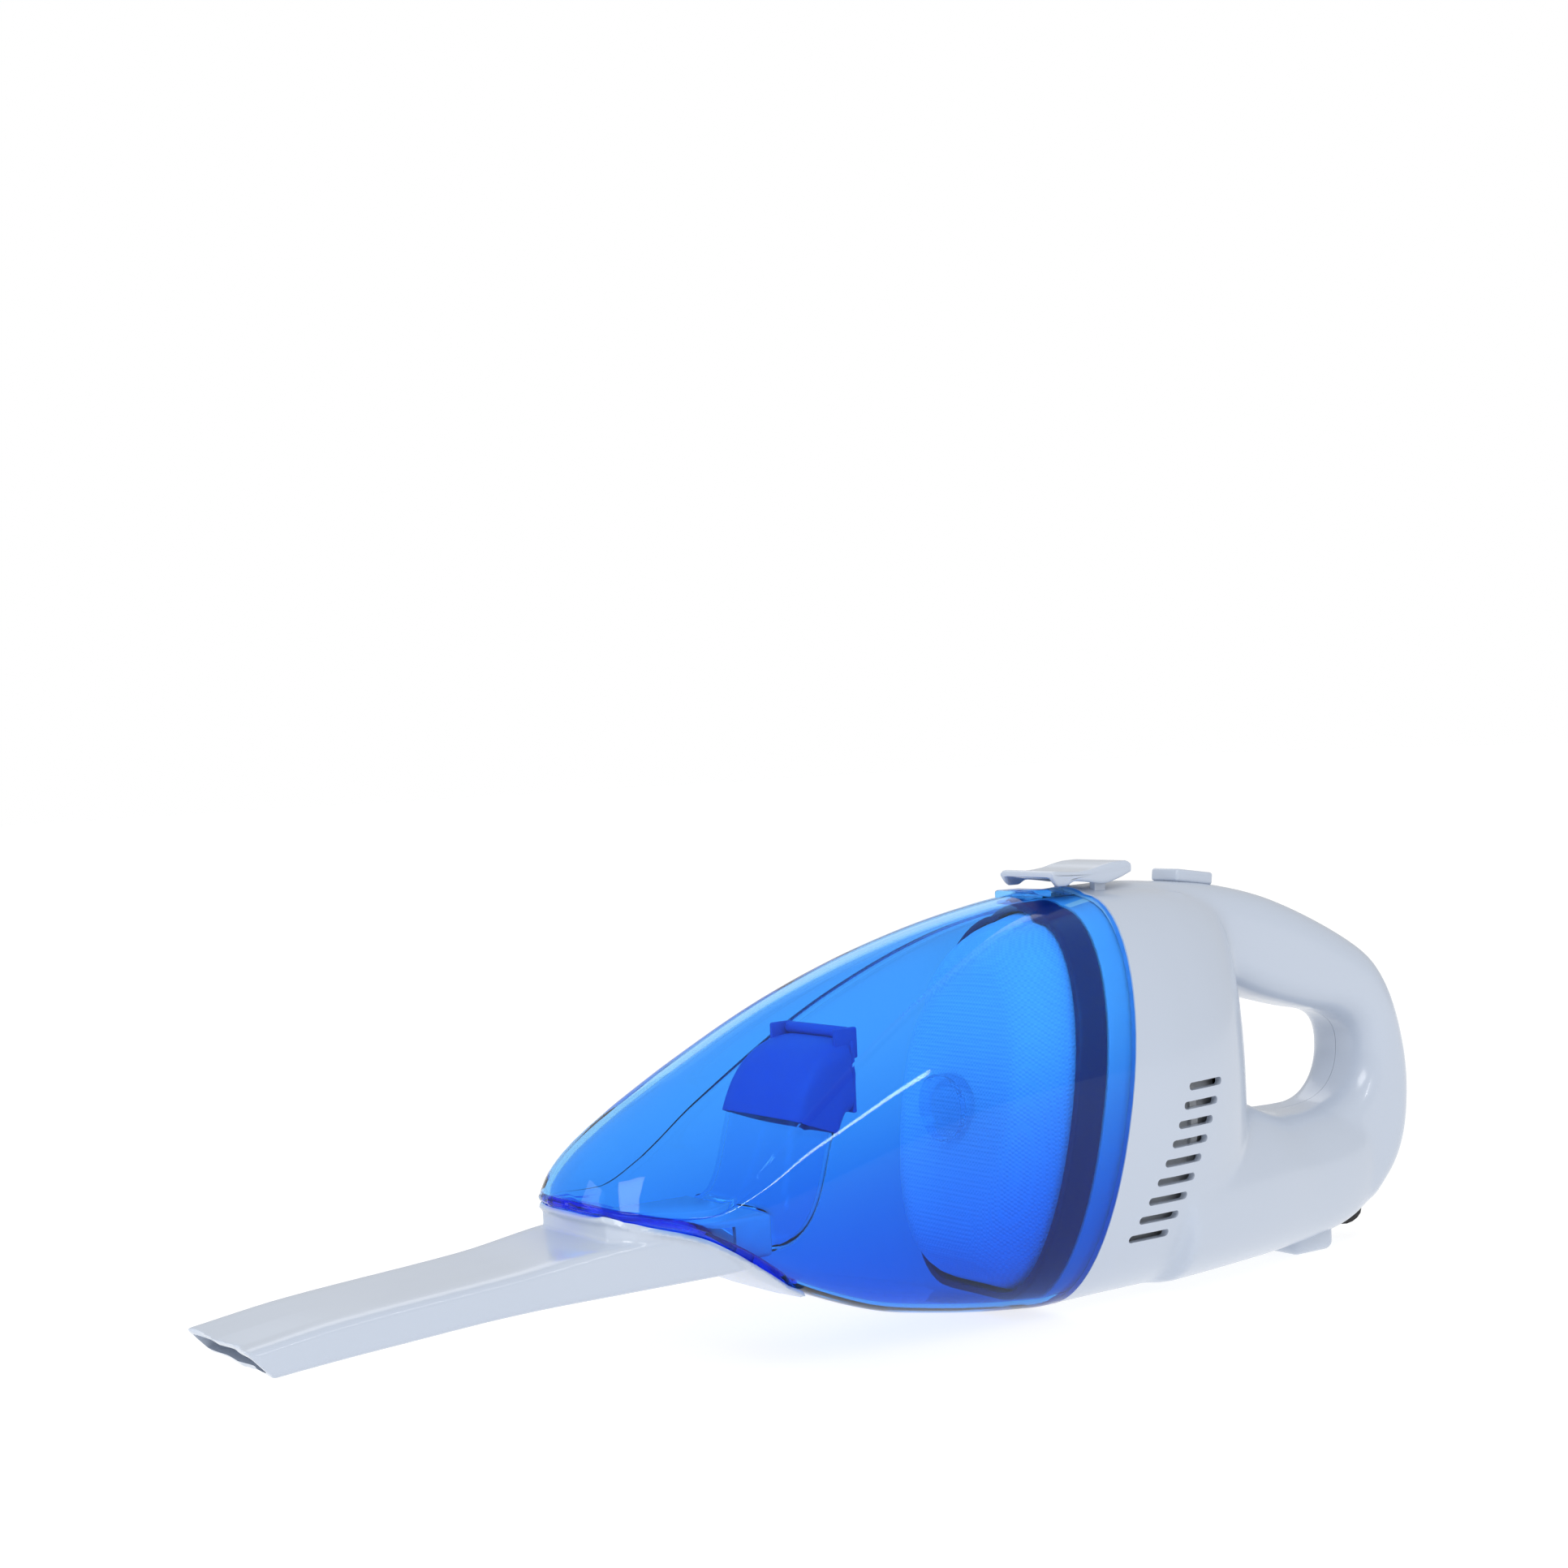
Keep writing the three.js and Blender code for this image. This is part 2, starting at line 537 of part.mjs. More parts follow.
add('motor_cap', cap, paint(0x26282b, 0.5));
add('motor_shaft', rod('x', [FAN_X - 5, 0, AXIS_Z], canEnd + 8.5 - FAN_X + 5 - 3, SHAFT_RADIUS), paint(0xc3c7cb, 0.2, 0.95));
const poles = range(0, 4, 4).map((i) => {
  const pole = join(box(CAN_X + 4, CAN_X + 16, -1.9, 1.9, 3, 9.6), box(CAN_X + 4, CAN_X + 16, -4.3, 4.3, 8, 9.8));
  return pole.rotate([72 * i, 0, 0]).translate([0, 0, AXIS_Z]);
});
add('armature', cut(join(rod('x', [CAN_X + 4, 0, AXIS_Z], 12, 4.2), ...poles), shaftBore), paint(0x7d5a3c, 0.4, 0.6));
add('commutator', cut(rod('x', [CAN_X + 17, 0, AXIS_Z], 5.5, 3.4), shaftBore), paint(0xb87333, 0.3, 0.9));
[-1, 1].forEach((s) => {
  const [a, b] = s < 0 ? [-9, -3.7] : [3.7, 9];
  add(s < 0 ? 'brush_left' : 'brush_right',
    box(CAN_X + 18, CAN_X + 22, a, b, AXIS_Z - 1.5, AXIS_Z + 1.5), paint(0x2b2b2d, 0.8));
  const [c, d] = s < 0 ? [-9.2, -7.8] : [7.8, 9.2];
  add(s < 0 ? 'terminal_left' : 'terminal_right',
    box(canEnd + 4.2 - 0.8, canEnd + 8, c, d, AXIS_Z - 1.5, AXIS_Z + 1.5), paint(0xd2b46b, 0.3, 0.9));
});

// Latch on its pin, with a leaf spring under its tail.
const latchSide = new THREE.Shape([
  ...splineShape([[LATCH_X - 19, LATCH_Z - 0.2], [LATCH_X - 18, LATCH_Z + 1.6], [LATCH_X - 13, LATCH_Z + 1],
    [LATCH_X - 7, LATCH_Z + 1.1], [LATCH_X + 1, LATCH_Z + 2.6], [LATCH_X + 7, LATCH_Z + 3],
    [LATCH_X + 9.4, LATCH_Z + 1.8], [LATCH_X + 9.2, LATCH_Z + 0.2]], 24),
  new THREE.Vector2(LATCH_X + 3, LATCH_Z + 0.4),
  new THREE.Vector2(LATCH_X - 8, LATCH_Z - 1),
]);
const latchTop = plate(latchSide, 2 * LATCH_HALF_W, 0.5, 0, 2);
const latchLegs = [-1, 1].map((s) => {
  const outline = new THREE.Shape();
  outline.moveTo(LATCH_X - 17.6, LATCH_Z);
  outline.lineTo(LATCH_X - 13.5, LATCH_Z - 2.8);
  outline.lineTo(LATCH_X - 8, LATCH_Z - 0.8);
  outline.lineTo(LATCH_X - 8, LATCH_Z + 0.4);
  outline.closePath();
  return plate(outline, 1.8).translate([0, s * (LATCH_HALF_W - 1.4), 0]);
});
const knuckle = join(rod('y', [LATCH_X, -5.8, LATCH_Z], 11.6, 2.1), box(LATCH_X - 1.6, LATCH_X + 1.6, -5.8, 5.8, LATCH_Z, LATCH_Z + 1.6));
const lugRoom = [-1, 1].map((s) => rod('y', [LATCH_X, s * LUG_Y - 1.6, LATCH_Z], 3.2, 2.6));
const latchBody = cut(join(latchTop, ...latchLegs, knuckle), ...lugRoom, rod('y', [LATCH_X, -20, LATCH_Z], 40, PIN_RADIUS + 0.2));
add('latch', latchBody, paint(white, 0.28));
add('latch_pin', rod('y', [LATCH_X, -8.6, LATCH_Z], 17.2, PIN_RADIUS), paint(0xb4b8bc, 0.25, 0.95));

const slider = tilted(join(
  box(-7, 7, -5.4, 5.4, 1.2, 3.2),
  box(-2, 2, -1.2, 1.2, -7.5, 1.4),
  ...[-3.6, -1.2, 1.2, 3.6].map((x) => box(x - 0.4, x + 0.4, -4.4, 4.4, 3, 3.7)),
)).translate([-SWITCH_TRAVEL / 2, 0, (SWITCH_TRAVEL / 2) * SLIDER_TILT]);
add('switch_slider', slider, paint(white, 0.3));
const switchBody = tilted(cut(box(-9, 9, -4.5, 4.5, -13, -4.2), box(-6, 6, -1.7, 1.7, -8.6, -4)));
add('switch_body', switchBody, paint(0x2a2c30, 0.5));

// Cord gland pressed into the lower rear of the housing.
const gland = cut(
  join(rod('x', [-2, 0, 0], 7.4, 3.1), rod('x', [5.2, 0, 0], 1.4, 4.2)),
  rod('x', [-3, 0, 0], 14, 1.8),
);
add('cord_gland', gland.rotate([0, 50, 0]).translate([109.7, 0, 11.7]), paint(0x17181a, 0.6));

// ---- filter ------------------------------------------------------------------------
const FRAME_INSET = WALL + 0.5;
const frameBand = cut(
  bowlSolid(FRAME_INSET, 12),
  bowlSolid(FRAME_INSET + 2, 14),
).intersect(besideJoint(-17, false)).intersect(besideJoint(-6.5, true));
const frameFace = bowlSolid(FRAME_INSET + 0.5, 12).intersect(besideJoint(-9, false)).intersect(besideJoint(-6.5, true));
const CUP_FRONT = -34;
const CUP_END = 4;
const cupSize = (grow) => {
  const rings = range(CUP_FRONT, CUP_END, 8).map((x) => {
    const t = (x - CUP_FRONT) / (CUP_END - CUP_FRONT);
    const ry = (17 + 12 * Math.sqrt(t)) + grow;
    const rz = (28 + 14 * Math.sqrt(t)) + grow;
    return range(0, 2 * Math.PI, 28).slice(0, -1).map((a) =>
      new THREE.Vector3(x, ry * Math.sin(a), 57 + rz * Math.cos(a)));
  });
  return loft(rings);
};
const cupCore = cupSize(0);
add('filter_frame', cut(join(frameBand, frameFace), cupCore), paint(0x14306e, 0.45));
const cupSkin = cut(
  cupSize(-0.4),
  cupSize(-1.6).translate([1.2, 0, 0]),
).intersect(besideJoint(-7, true));
add('filter_cup', cupSkin, paint(0x9fb4d8, 0.9));
const grip = cut(
  rod('x', [CUP_FRONT - 6, 0, 57], 5.6, 9, 9, 32),
  rod('x', [CUP_FRONT - 8, 0, 57], 6, 6.5, 6.5, 32),
);
add('filter_button', grip, paint(0x14306e, 0.45));

// ---- dust bowl -----------------------------------------------------------------------
const mouth = box(-175, -106, -PLUG_HALF_W - GAP, PLUG_HALF_W + GAP, PLUG_Z - PLUG_HALF_H - GAP, PLUG_Z + PLUG_HALF_H + GAP);
const FOOT_X = -17.4;
const footHole = rod('z', [FOOT_X, 0, 0], 8, 1.8);
const catchTab = box(-12, -1, -7, 7, 110, CATCH_TOP);
const bowl = cut(
  join(bowlSolid(0).intersect(besideJoint(-GAP / 2, true)), catchTab),
  bowlSolid(WALL, 16),
  mouth,
  footHole,
);
add('dust_bowl', bowl, paint(0x1f7ff0, 0.12));
const nub = join(rod('z', [FOOT_X, 0, 0], 1.8, 2.6, 3), rod('z', [FOOT_X, 0, 0.6], 5.2, 1.5), rod('z', [FOOT_X, 0, 4.8], 1, 2.2));
add('bowl_foot', nub, paint(0x7d858e, 0.7));

// Inlet duct: from the mouth back and up to the rubber flap.
const FLAP_X = -78.4;
const FLAP_Z = 81.8;
const DUCT_TOP = 71;
const DUCT_NARROW = 3.5;
const DUCT_RISE = 3;
const ductPath = new THREE.CubicBezierCurve3(
  new THREE.Vector3(-106.5, 0, PLUG_Z + 0.4), new THREE.Vector3(-90, 0, PLUG_Z + 0.4),
  new THREE.Vector3(-97, 0, DUCT_TOP), new THREE.Vector3(-79.5, 0, DUCT_TOP),
);
const soft = (v, power) => Math.sign(v) * Math.abs(v) ** power;
function ductSolid(halfW, halfH, overrun) {
  const steps = range(0, 1, 9);
  const place = (u, extra) => {
    const along = ductPath.getTangent(u);
    const centre = ductPath.getPoint(u).addScaledVector(along, extra);
    const up = new THREE.Vector3(-along.z, 0, along.x);
    return range(0, 2 * Math.PI, 24).slice(0, -1).map((a) => {
      const y = (halfW - DUCT_NARROW * u) * soft(Math.sin(a), 0.4);
      return centre.clone().addScaledVector(up, (halfH + DUCT_RISE * u) * soft(Math.cos(a), 0.4)).setY(y);
    });
  };
  const rings = steps.map((u) => place(u, 0));
  return loft(overrun ? [place(0, -5), ...rings.slice(1, -1), place(1, 5)] : rings);
}
const ears = [-1, 1].map((s) => cut(
  box(FLAP_X - 5, FLAP_X + 2, s * 13.9 - 0.7, s * 13.9 + 0.7, DUCT_TOP + 4.5, FLAP_Z + 1.6),
  rod('y', [FLAP_X, -20, FLAP_Z], 40, 0.95),
  box(FLAP_X - 0.9, FLAP_X + 3, -20, 20, 0, FLAP_Z - 2.2),
));
const ductHalfH = PLUG_HALF_H + 0.6;
const duct = cut(
  join(ductSolid(PLUG_HALF_W, ductHalfH, false), ...ears),
  ductSolid(PLUG_HALF_W - DUCT_WALL, ductHalfH - DUCT_WALL, true),
);
add('inlet_duct', duct, paint(0x2f86f2, 0.15));

// Rubber flap hanging over the duct outlet on its own pin.
const FLAP_HALF_W = 15;
const flapShape = new THREE.Shape();
flapShape.moveTo(-12.4, FLAP_Z);
flapShape.lineTo(-12.4, FLAP_Z - 5.5);
flapShape.lineTo(-FLAP_HALF_W, FLAP_Z - 6.5);
flapShape.lineTo(-FLAP_HALF_W, FLAP_Z - 17);
flapShape.quadraticCurveTo(-FLAP_HALF_W, FLAP_Z - 20, -12, FLAP_Z - 20);
flapShape.lineTo(12, FLAP_Z - 20);
flapShape.quadraticCurveTo(FLAP_HALF_W, FLAP_Z - 20, FLAP_HALF_W, FLAP_Z - 17);
flapShape.lineTo(FLAP_HALF_W, FLAP_Z - 6.5);
flapShape.lineTo(12.4, FLAP_Z - 5.5);
flapShape.lineTo(12.4, FLAP_Z);
flapShape.closePath();
const flapGeometry = new THREE.ExtrudeGeometry(flapShape, { depth: 1.3, bevelEnabled: false, curveSegments: 4 });
flapGeometry.rotateX(Math.PI / 2);
flapGeometry.rotateZ(Math.PI / 2);
flapGeometry.translate(FLAP_X - 0.6 + 1.3, 0, 0);
const flapPlate = solid(flapGeometry);
const flapBarrel = rod('y', [FLAP_X, -12.4, FLAP_Z], 24.8, 1.6);
add('inlet_flap', cut(join(flapPlate, flapBarrel), rod('y', [FLAP_X, -20, FLAP_Z], 40, 0.95)), paint(0x101a3a, 0.7));
add('flap_pin', rod('y', [FLAP_X, -14.5, FLAP_Z], 29, 0.8), paint(0xb4b8bc, 0.25, 0.95));

// ---- crevice nozzle --------------------------------------------------------------------
const nozzleTop = line([[TIP_X, 30.6], [-223, 33.6], [-176, 37.2], [-146, 40.6], [-128, 41]]);
const nozzleLow = line([[TIP_X, 23.4], [-238, 24], [-214, 25.2], [-180, 27.1], [-146, 27.8], [-118, 28.4]]);
const nozzleHalf = line([[TIP_X, 18], [-176, 18.6], [-150, 20.6], [-124, 23]]);
function nozzleRing(x, inset) {
  const top = nozzleTop(x) - inset;
  const low = nozzleLow(x) + inset;
  const half = nozzleHalf(x) - inset;
  const mid = (top + low) / 2;
  const rise = (top - low) / 2;
  return range(0, 2 * Math.PI, 24).slice(0, -1).map((a) => {
    const y = half * soft(Math.sin(a), 0.35);
    const z = mid + rise * soft(Math.cos(a), 0.35);
    return new THREE.Vector3(x, y, z);
  });
}
const nozzleStations = [TIP_X, -238, -228, -214, -198, -180, -164, -150, -138, -128, -119];
const nozzleBlank = loft(nozzleStations.map((x) => nozzleRing(x, 0)));
const tipCut = box(-40, 0, -40, 40, -30, 30).rotate([0, -45, 0]).translate([TIP_X - 0.3, 0, 30.6]);
const underBowl = bowlSolid(-GAP);
const collarRings = range(-152, -104, 12).map((x) => {
  const half = Math.max(creaseY(x) - 1.5, 6);
  const corners = [[-half, 1], [half, 1], [half, -2.4], [-half, -2.4]];
  return corners.map(([y, z]) => new THREE.Vector3(x, y, floor(x) + z));
});
const plug = box(-140, -108, -PLUG_HALF_W, PLUG_HALF_W, PLUG_Z - PLUG_HALF_H, PLUG_Z + PLUG_HALF_H);
const nozzleShell = join(cut(join(nozzleBlank, loft(collarRings)), underBowl), plug.intersect(join(nozzleBlank, mouth)));
const nozzleBore = join(
  loft([TIP_X - 5, ...nozzleStations].map((x) => nozzleRing(x, NOZZLE_WALL))),
  box(-132, -100, -PLUG_HALF_W + NOZZLE_WALL, PLUG_HALF_W - NOZZLE_WALL,
    PLUG_Z - PLUG_HALF_H + NOZZLE_WALL, PLUG_Z + PLUG_HALF_H - NOZZLE_WALL),
);
add('crevice_nozzle', cut(nozzleShell, nozzleBore, tipCut), paint(white, 0.28));

const bounds = new THREE.Box3().setFromObject(root);
root.position.x = -(bounds.min.x + bounds.max.x) / 2;

export default root;
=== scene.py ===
"""Handheld car vacuum: the finished look of the model, built round its CAD frame."""

import math

import bmesh
import bpy
from mathutils import Matrix, Vector


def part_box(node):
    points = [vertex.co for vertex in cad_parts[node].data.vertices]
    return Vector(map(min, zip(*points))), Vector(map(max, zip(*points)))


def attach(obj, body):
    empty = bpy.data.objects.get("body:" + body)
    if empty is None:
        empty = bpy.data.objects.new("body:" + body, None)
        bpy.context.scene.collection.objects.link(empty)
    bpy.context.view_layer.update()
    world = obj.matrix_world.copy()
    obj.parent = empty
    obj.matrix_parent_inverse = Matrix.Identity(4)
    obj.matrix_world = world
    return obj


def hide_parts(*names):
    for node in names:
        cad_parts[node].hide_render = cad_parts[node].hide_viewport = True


bl_info = {
    "name": "Handheld Car Vacuum",
    "version": (1, 0, 0),
    "blender": (4, 5, 0),
    "location": "3D View > Sidebar > Car Vacuum",
    "description": "Builds the shells, dust bowl, filter, nozzle and studio of a handheld car vacuum",
    "category": "Object",
}

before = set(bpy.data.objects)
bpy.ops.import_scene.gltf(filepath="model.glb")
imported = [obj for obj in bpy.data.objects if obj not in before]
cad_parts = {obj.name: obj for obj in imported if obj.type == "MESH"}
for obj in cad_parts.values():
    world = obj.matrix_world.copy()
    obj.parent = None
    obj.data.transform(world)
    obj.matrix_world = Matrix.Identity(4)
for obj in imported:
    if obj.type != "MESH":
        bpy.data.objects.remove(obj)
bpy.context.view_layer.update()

MM = 0.001
CAD_TIP_X = -246.0  # front of the crevice nozzle in the maker's own coordinates
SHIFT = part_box("crevice_nozzle")[0][0] / MM - CAD_TIP_X

# Dimensions that the pieces share, in millimetres, in the maker's coordinates.
JOINT_X = -4.2
JOINT_Z = 57.7
JOINT_SLOPE = 0.2
GAP = 0.3
SEAM = 0.16  # between the two housing halves
PAINTED_SHADE_LEVELS = (0.088, 0.022)  # metres: painted shade, standing in for the darker reflections low on the bowl, deepens its blue from the first level to the second
BODY_TOP = 112.7
ARCH_ANGLE = 1.1
PLUG_Z = 35.9
PLUG_HALF_H = 5.2
PLUG_HALF_W = 19.0
LATCH_X = 13.0
LATCH_Z = 116.2
LATCH_HALF_WIDTH = 11.0
LUG_Y = 7.4
LUG_THICK = 2.0
LUG_RADIUS = 1.9
SLIDER_AT = (53.5, 110.3)
SLIDER_TILT = 0.15
HANDLE_WIDTH = 27.0
HANDLE_ROUND = 8.0
VENTS = 9
VENT_TOP = (24.1, 59.1)
VENT_LOW = (5.2, 20.1)


# ---- Helpers -------------------------------------------------------------------------------------


def place(x, y, z):
    """A point of the maker's coordinates, in metres in the frame."""
    return Vector(((x + SHIFT) * MM, y * MM, z * MM))


def steps(start, end, count):
    """count + 1 evenly spaced values from start to end."""
    return [start + (end - start) * i / count for i in range(count + 1)]


def line(stations):
    """A smooth value through (place, value) stations that never overshoots them."""
    places = [s[0] for s in stations]
    values = [s[1] for s in stations]
    last = len(stations) - 1
    rise = [(values[i + 1] - values[i]) / (places[i + 1] - places[i]) for i in range(last)]
    slope = [rise[0]]
    for before, after in zip(rise, rise[1:]):
        slope.append(0.0 if before * after <= 0 else 2 * before * after / (before + after))
    slope.append(rise[-1])

    def value(x):
        if x <= places[0]:
            return values[0]
        if x >= places[last]:
            return values[last]
        i = max(k for k in range(last) if places[k] <= x)
        h = places[i + 1] - places[i]
        t = (x - places[i]) / h
        return (
            values[i] * (1 + 2 * t) * (1 - t) ** 2
            + slope[i] * h * t * (1 - t) ** 2
            + values[i + 1] * t * t * (3 - 2 * t)
            + slope[i + 1] * h * t * t * (t - 1)
        )

    return value


def spline(points, count, closed=False):
    """count points spaced evenly along a smooth curve through the given (x, z) points."""
    n = len(points)
    dense = []
    spans = n if closed else n - 1
    for i in range(spans):
        if closed:
            p = [points[(i + k - 1) % n] for k in range(4)]
        else:
            p = [points[min(max(i + k - 1, 0), n - 1)] for k in range(4)]
        for t in steps(0, 1, 24)[:-1]:
            dense.append(
                tuple(
                    0.5
                    * (
                        2 * p[1][a]
                        + (p[2][a] - p[0][a]) * t
                        + (2 * p[0][a] - 5 * p[1][a] + 4 * p[2][a] - p[3][a]) * t * t
                        + (3 * p[1][a] - p[0][a] - 3 * p[2][a] + p[3][a]) * t**3
                    )
                    for a in (0, 1)
                )
            )
    dense.append(points[0] if closed else points[-1])
    run = [0.0]
    for a, b in zip(dense, dense[1:]):
        run.append(run[-1] + math.dist(a, b))
    out = []
    k = 0
    for i in range(count):
        want = run[-1] * i / (count if closed else count - 1)
        while k < len(run) - 2 and run[k + 1] < want:
            k += 1
        t = (want - run[k]) / max(run[k + 1] - run[k], 1e-9)
        out.append(tuple(dense[k][a] + (dense[k + 1][a] - dense[k][a]) * t for a in (0, 1)))
    return out


def soft(value, power):
    return math.copysign(abs(value) ** power, value)


def deselect():
    for o in bpy.context.selected_objects:
        o.select_set(False)


def activate(o):
    deselect()
    bpy.context.view_layer.objects.active = o
    o.select_set(True)


def mesh_object(name, points, faces):
    mesh = bpy.data.meshes.new(name)
    mesh.from_pydata([tuple(p) for p in points], [], faces)
    mesh.update()
    o = bpy.data.objects.new(name, mesh)
    bpy.context.scene.collection.objects.link(o)
    return o


def loft(name, rings, shut_start=True, shut_end=True):
    """A skin through rings of equal point count, with its ends fanned shut."""
    count = len(rings[0])
    points = [p for ring in rings for p in ring]
    faces = []
    for r in range(len(rings) - 1):
        for i in range(count):
            j = (i + 1) % count
            faces.append((r * count + i, (r + 1) * count + i, (r + 1) * count + j, r * count + j))
    for shut, first in ((shut_start, 0), (shut_end, (len(rings) - 1) * count)):
        if shut:
            hub = len(points)
            ring = points[first : first + count]
            points.append(sum(ring, Vector()) / count)
            for i in range(count):
                faces.append((hub, first + i, first + (i + 1) % count))
    o = mesh_object(name, points, faces)
    outward(o)
    return o


def outward(o):
    activate(o)
    bpy.ops.object.mode_set(mode="EDIT")
    bpy.ops.mesh.select_all(action="SELECT")
    bpy.ops.mesh.remove_doubles(threshold=1e-6)
    bpy.ops.mesh.normals_make_consistent(inside=False)
    bpy.ops.object.mode_set(mode="OBJECT")


def apply(o, kind, **values):
    """Adds a modifier with these values and applies it."""
    activate(o)
    m = o.modifiers.new(kind.title(), kind)
    for key, value in values.items():
        setattr(m, key, value)
    bpy.ops.object.modifier_apply(modifier=m.name)


def walled(o, wall, **values):
    """Gives an open skin a wall on its inner side."""
    apply(o, "SOLIDIFY", thickness=wall, offset=-1, use_even_offset=True, **values)


def combine(o, tool, how):
    """Adds, cuts or keeps the common part with another closed mesh."""
    apply(o, "BOOLEAN", operation=how, object=tool, solver="MANIFOLD")
    bpy.data.objects.remove(tool)
    if not o.data.polygons:
        raise RuntimeError(f"nothing is left of {o.name} after {how}")


def block(name, low, high):
    """A box between two corners of the maker's coordinates, used as a cutter or a start."""
    deselect()
    a, b = place(*low), place(*high)
    bpy.ops.mesh.primitive_cube_add(size=1, location=(a + b) / 2)
    o = bpy.context.object
    o.name = name
    o.scale = b - a
    bake_place(o)
    return o


def rod(name, centre, radius, length, axis="Z", sides=48, top=None):
    """A round bar or cone centred on a point, along an axis."""
    deselect()
    turn = {"X": (0, math.pi / 2, 0), "Y": (math.pi / 2, 0, 0), "Z": (0, 0, 0)}[axis]
    bpy.ops.mesh.primitive_cone_add(
        vertices=sides,
        radius1=radius * MM,
        radius2=(radius if top is None else top) * MM,
        depth=length * MM,
        location=place(*centre),
        rotation=turn,
    )
    o = bpy.context.object
    o.name = name
    bake_place(o)
    return o


def bake_place(o):
    activate(o)
    bpy.ops.object.transform_apply(location=True, rotation=True, scale=True)


def turned(o, angle, pivot, axis="Y"):
    """Turns a mesh about a point of the maker's coordinates."""
    p = place(*pivot)
    o.data.transform(Matrix.Translation(p) @ Matrix.Rotation(angle, 4, axis) @ Matrix.Translation(-p))
    return o


def rounded(o, width, segments=3, angle=30):
    apply(
        o,
        "BEVEL",
        width=width * MM,
        segments=segments,
        limit_method="ANGLE",
        angle_limit=math.radians(angle),
        use_clamp_overlap=True,
    )


def smooth(o, angle=35):
    activate(o)
    bpy.ops.object.shade_smooth_by_angle(angle=math.radians(angle))


def joined(name, objects):
    activate(objects[0])
    for o in objects:
        o.select_set(True)
    bpy.ops.object.join()
    o = bpy.context.object
    o.name = name
    return o


def beside_joint(shift, ahead):
    """A block that ends at the leaning joint plane, moved along X by shift."""
    reach = 300
    x = JOINT_X + shift
    low = (x - reach, -reach, JOINT_Z - reach) if ahead else (x, -reach, JOINT_Z - reach)
    high = (x, reach, JOINT_Z + reach) if ahead else (x + reach, reach, JOINT_Z + reach)
    return turned(block("joint block", low, high), math.atan(JOINT_SLOPE), (x, 0, JOINT_Z))


# ---- Body surface ---------------------------------------------------------------------------------

BODY = {
    "roof": line([(-157, 51), (-154, 56.5), (-150, 60.8), (-139.4, 68.4), (-117.5, 80.2), (-87.6, 93.4),
                  (-55, 103.6), (-30, 109), (-10, 111.8), (8, BODY_TOP)]),
    "floor": line([(-157, 47.5), (-150, 44.5), (-131, 38.5), (-112, 26.4), (-92.6, 17.2), (-72.5, 10.2),
                   (-58, 7.2), (-38, 4), (-21, 2.1)]),
    "broad": line([(-157, 7), (-155, 13), (-150, 20), (-140, 24.5), (-128, 27.8), (-112, 30.2), (-80, 33.6),
                   (-50, 35.6), (-20, 36.7), (0, 37)]),
    "broad_z": line([(-157, 48.5), (-150, 46.5), (-131, 43), (-112, 42), (-80, 48), (-50, 54),
                     (-10, JOINT_Z)]),
    "crease_y": line([(-157, 6.3), (-155, 12.4), (-150, 19.3), (-140, 23.6), (-118, 26.6), (-101, 24.5),
                      (-58, 19.5), (-20, 12.5), (8, 9)]),
    "crease_z": line([(-157, 49), (-150, 47.5), (-131, 46), (-118, 51), (-101, 64), (-58, 90.5),
                      (-20, 106.2), (8, BODY_TOP - 1.6)]),
    "keel_y": line([(-157, 4), (-150, 12), (-112, 17), (-60, 11), (0, 8)]),
}
REAR = dict(
    BODY,
    roof=line([(8, BODY_TOP), (25, BODY_TOP + 0.2), (40, 111.8), (50, 109.6), (56, 104), (60, 96)]),
    floor=line([(-16, 2.1), (28, 2.4), (50, 2.8), (56, 4), (60, 8)]),
    broad=line([(-16, 36.8), (0, 37), (8, 37), (25, 35), (40, 30.5), (50, 24), (56, 17), (60, 11)]),
    crease_z=line([(8, BODY_TOP - 1.6), (25, BODY_TOP - 2), (50, 106.5), (60, 92)]),
    broad_z=lambda x: JOINT_Z,
)
BASE = {
    "roof": line([(20, 52), (60, 50), (80, 44), (100, 43.5), (113, 46), (118, 44)]),
    "floor": line([(20, 2.5), (60, 3), (80, 3.6), (100, 5.6), (112, 9.6), (118, 15)]),
    "broad": line([(20, 33.5), (40, 30.5), (60, 26.5), (80, 21.5), (100, 17), (113, 12.8), (118, 8)]),
    "broad_z": lambda x: 24.0,
    "crease_y": line([(20, 9), (118, 5)]),
    "crease_z": line([(20, 50), (60, 48), (80, 42.5), (100, 42), (113, 44.5), (118, 42)]),
    "keel_y": line([(20, 12), (118, 4)]),
}
ARCH_STEPS = 9
BELLY_POWER = 0.9  # 1 is an ellipse, less is boxier
SIDE_STEPS = 14


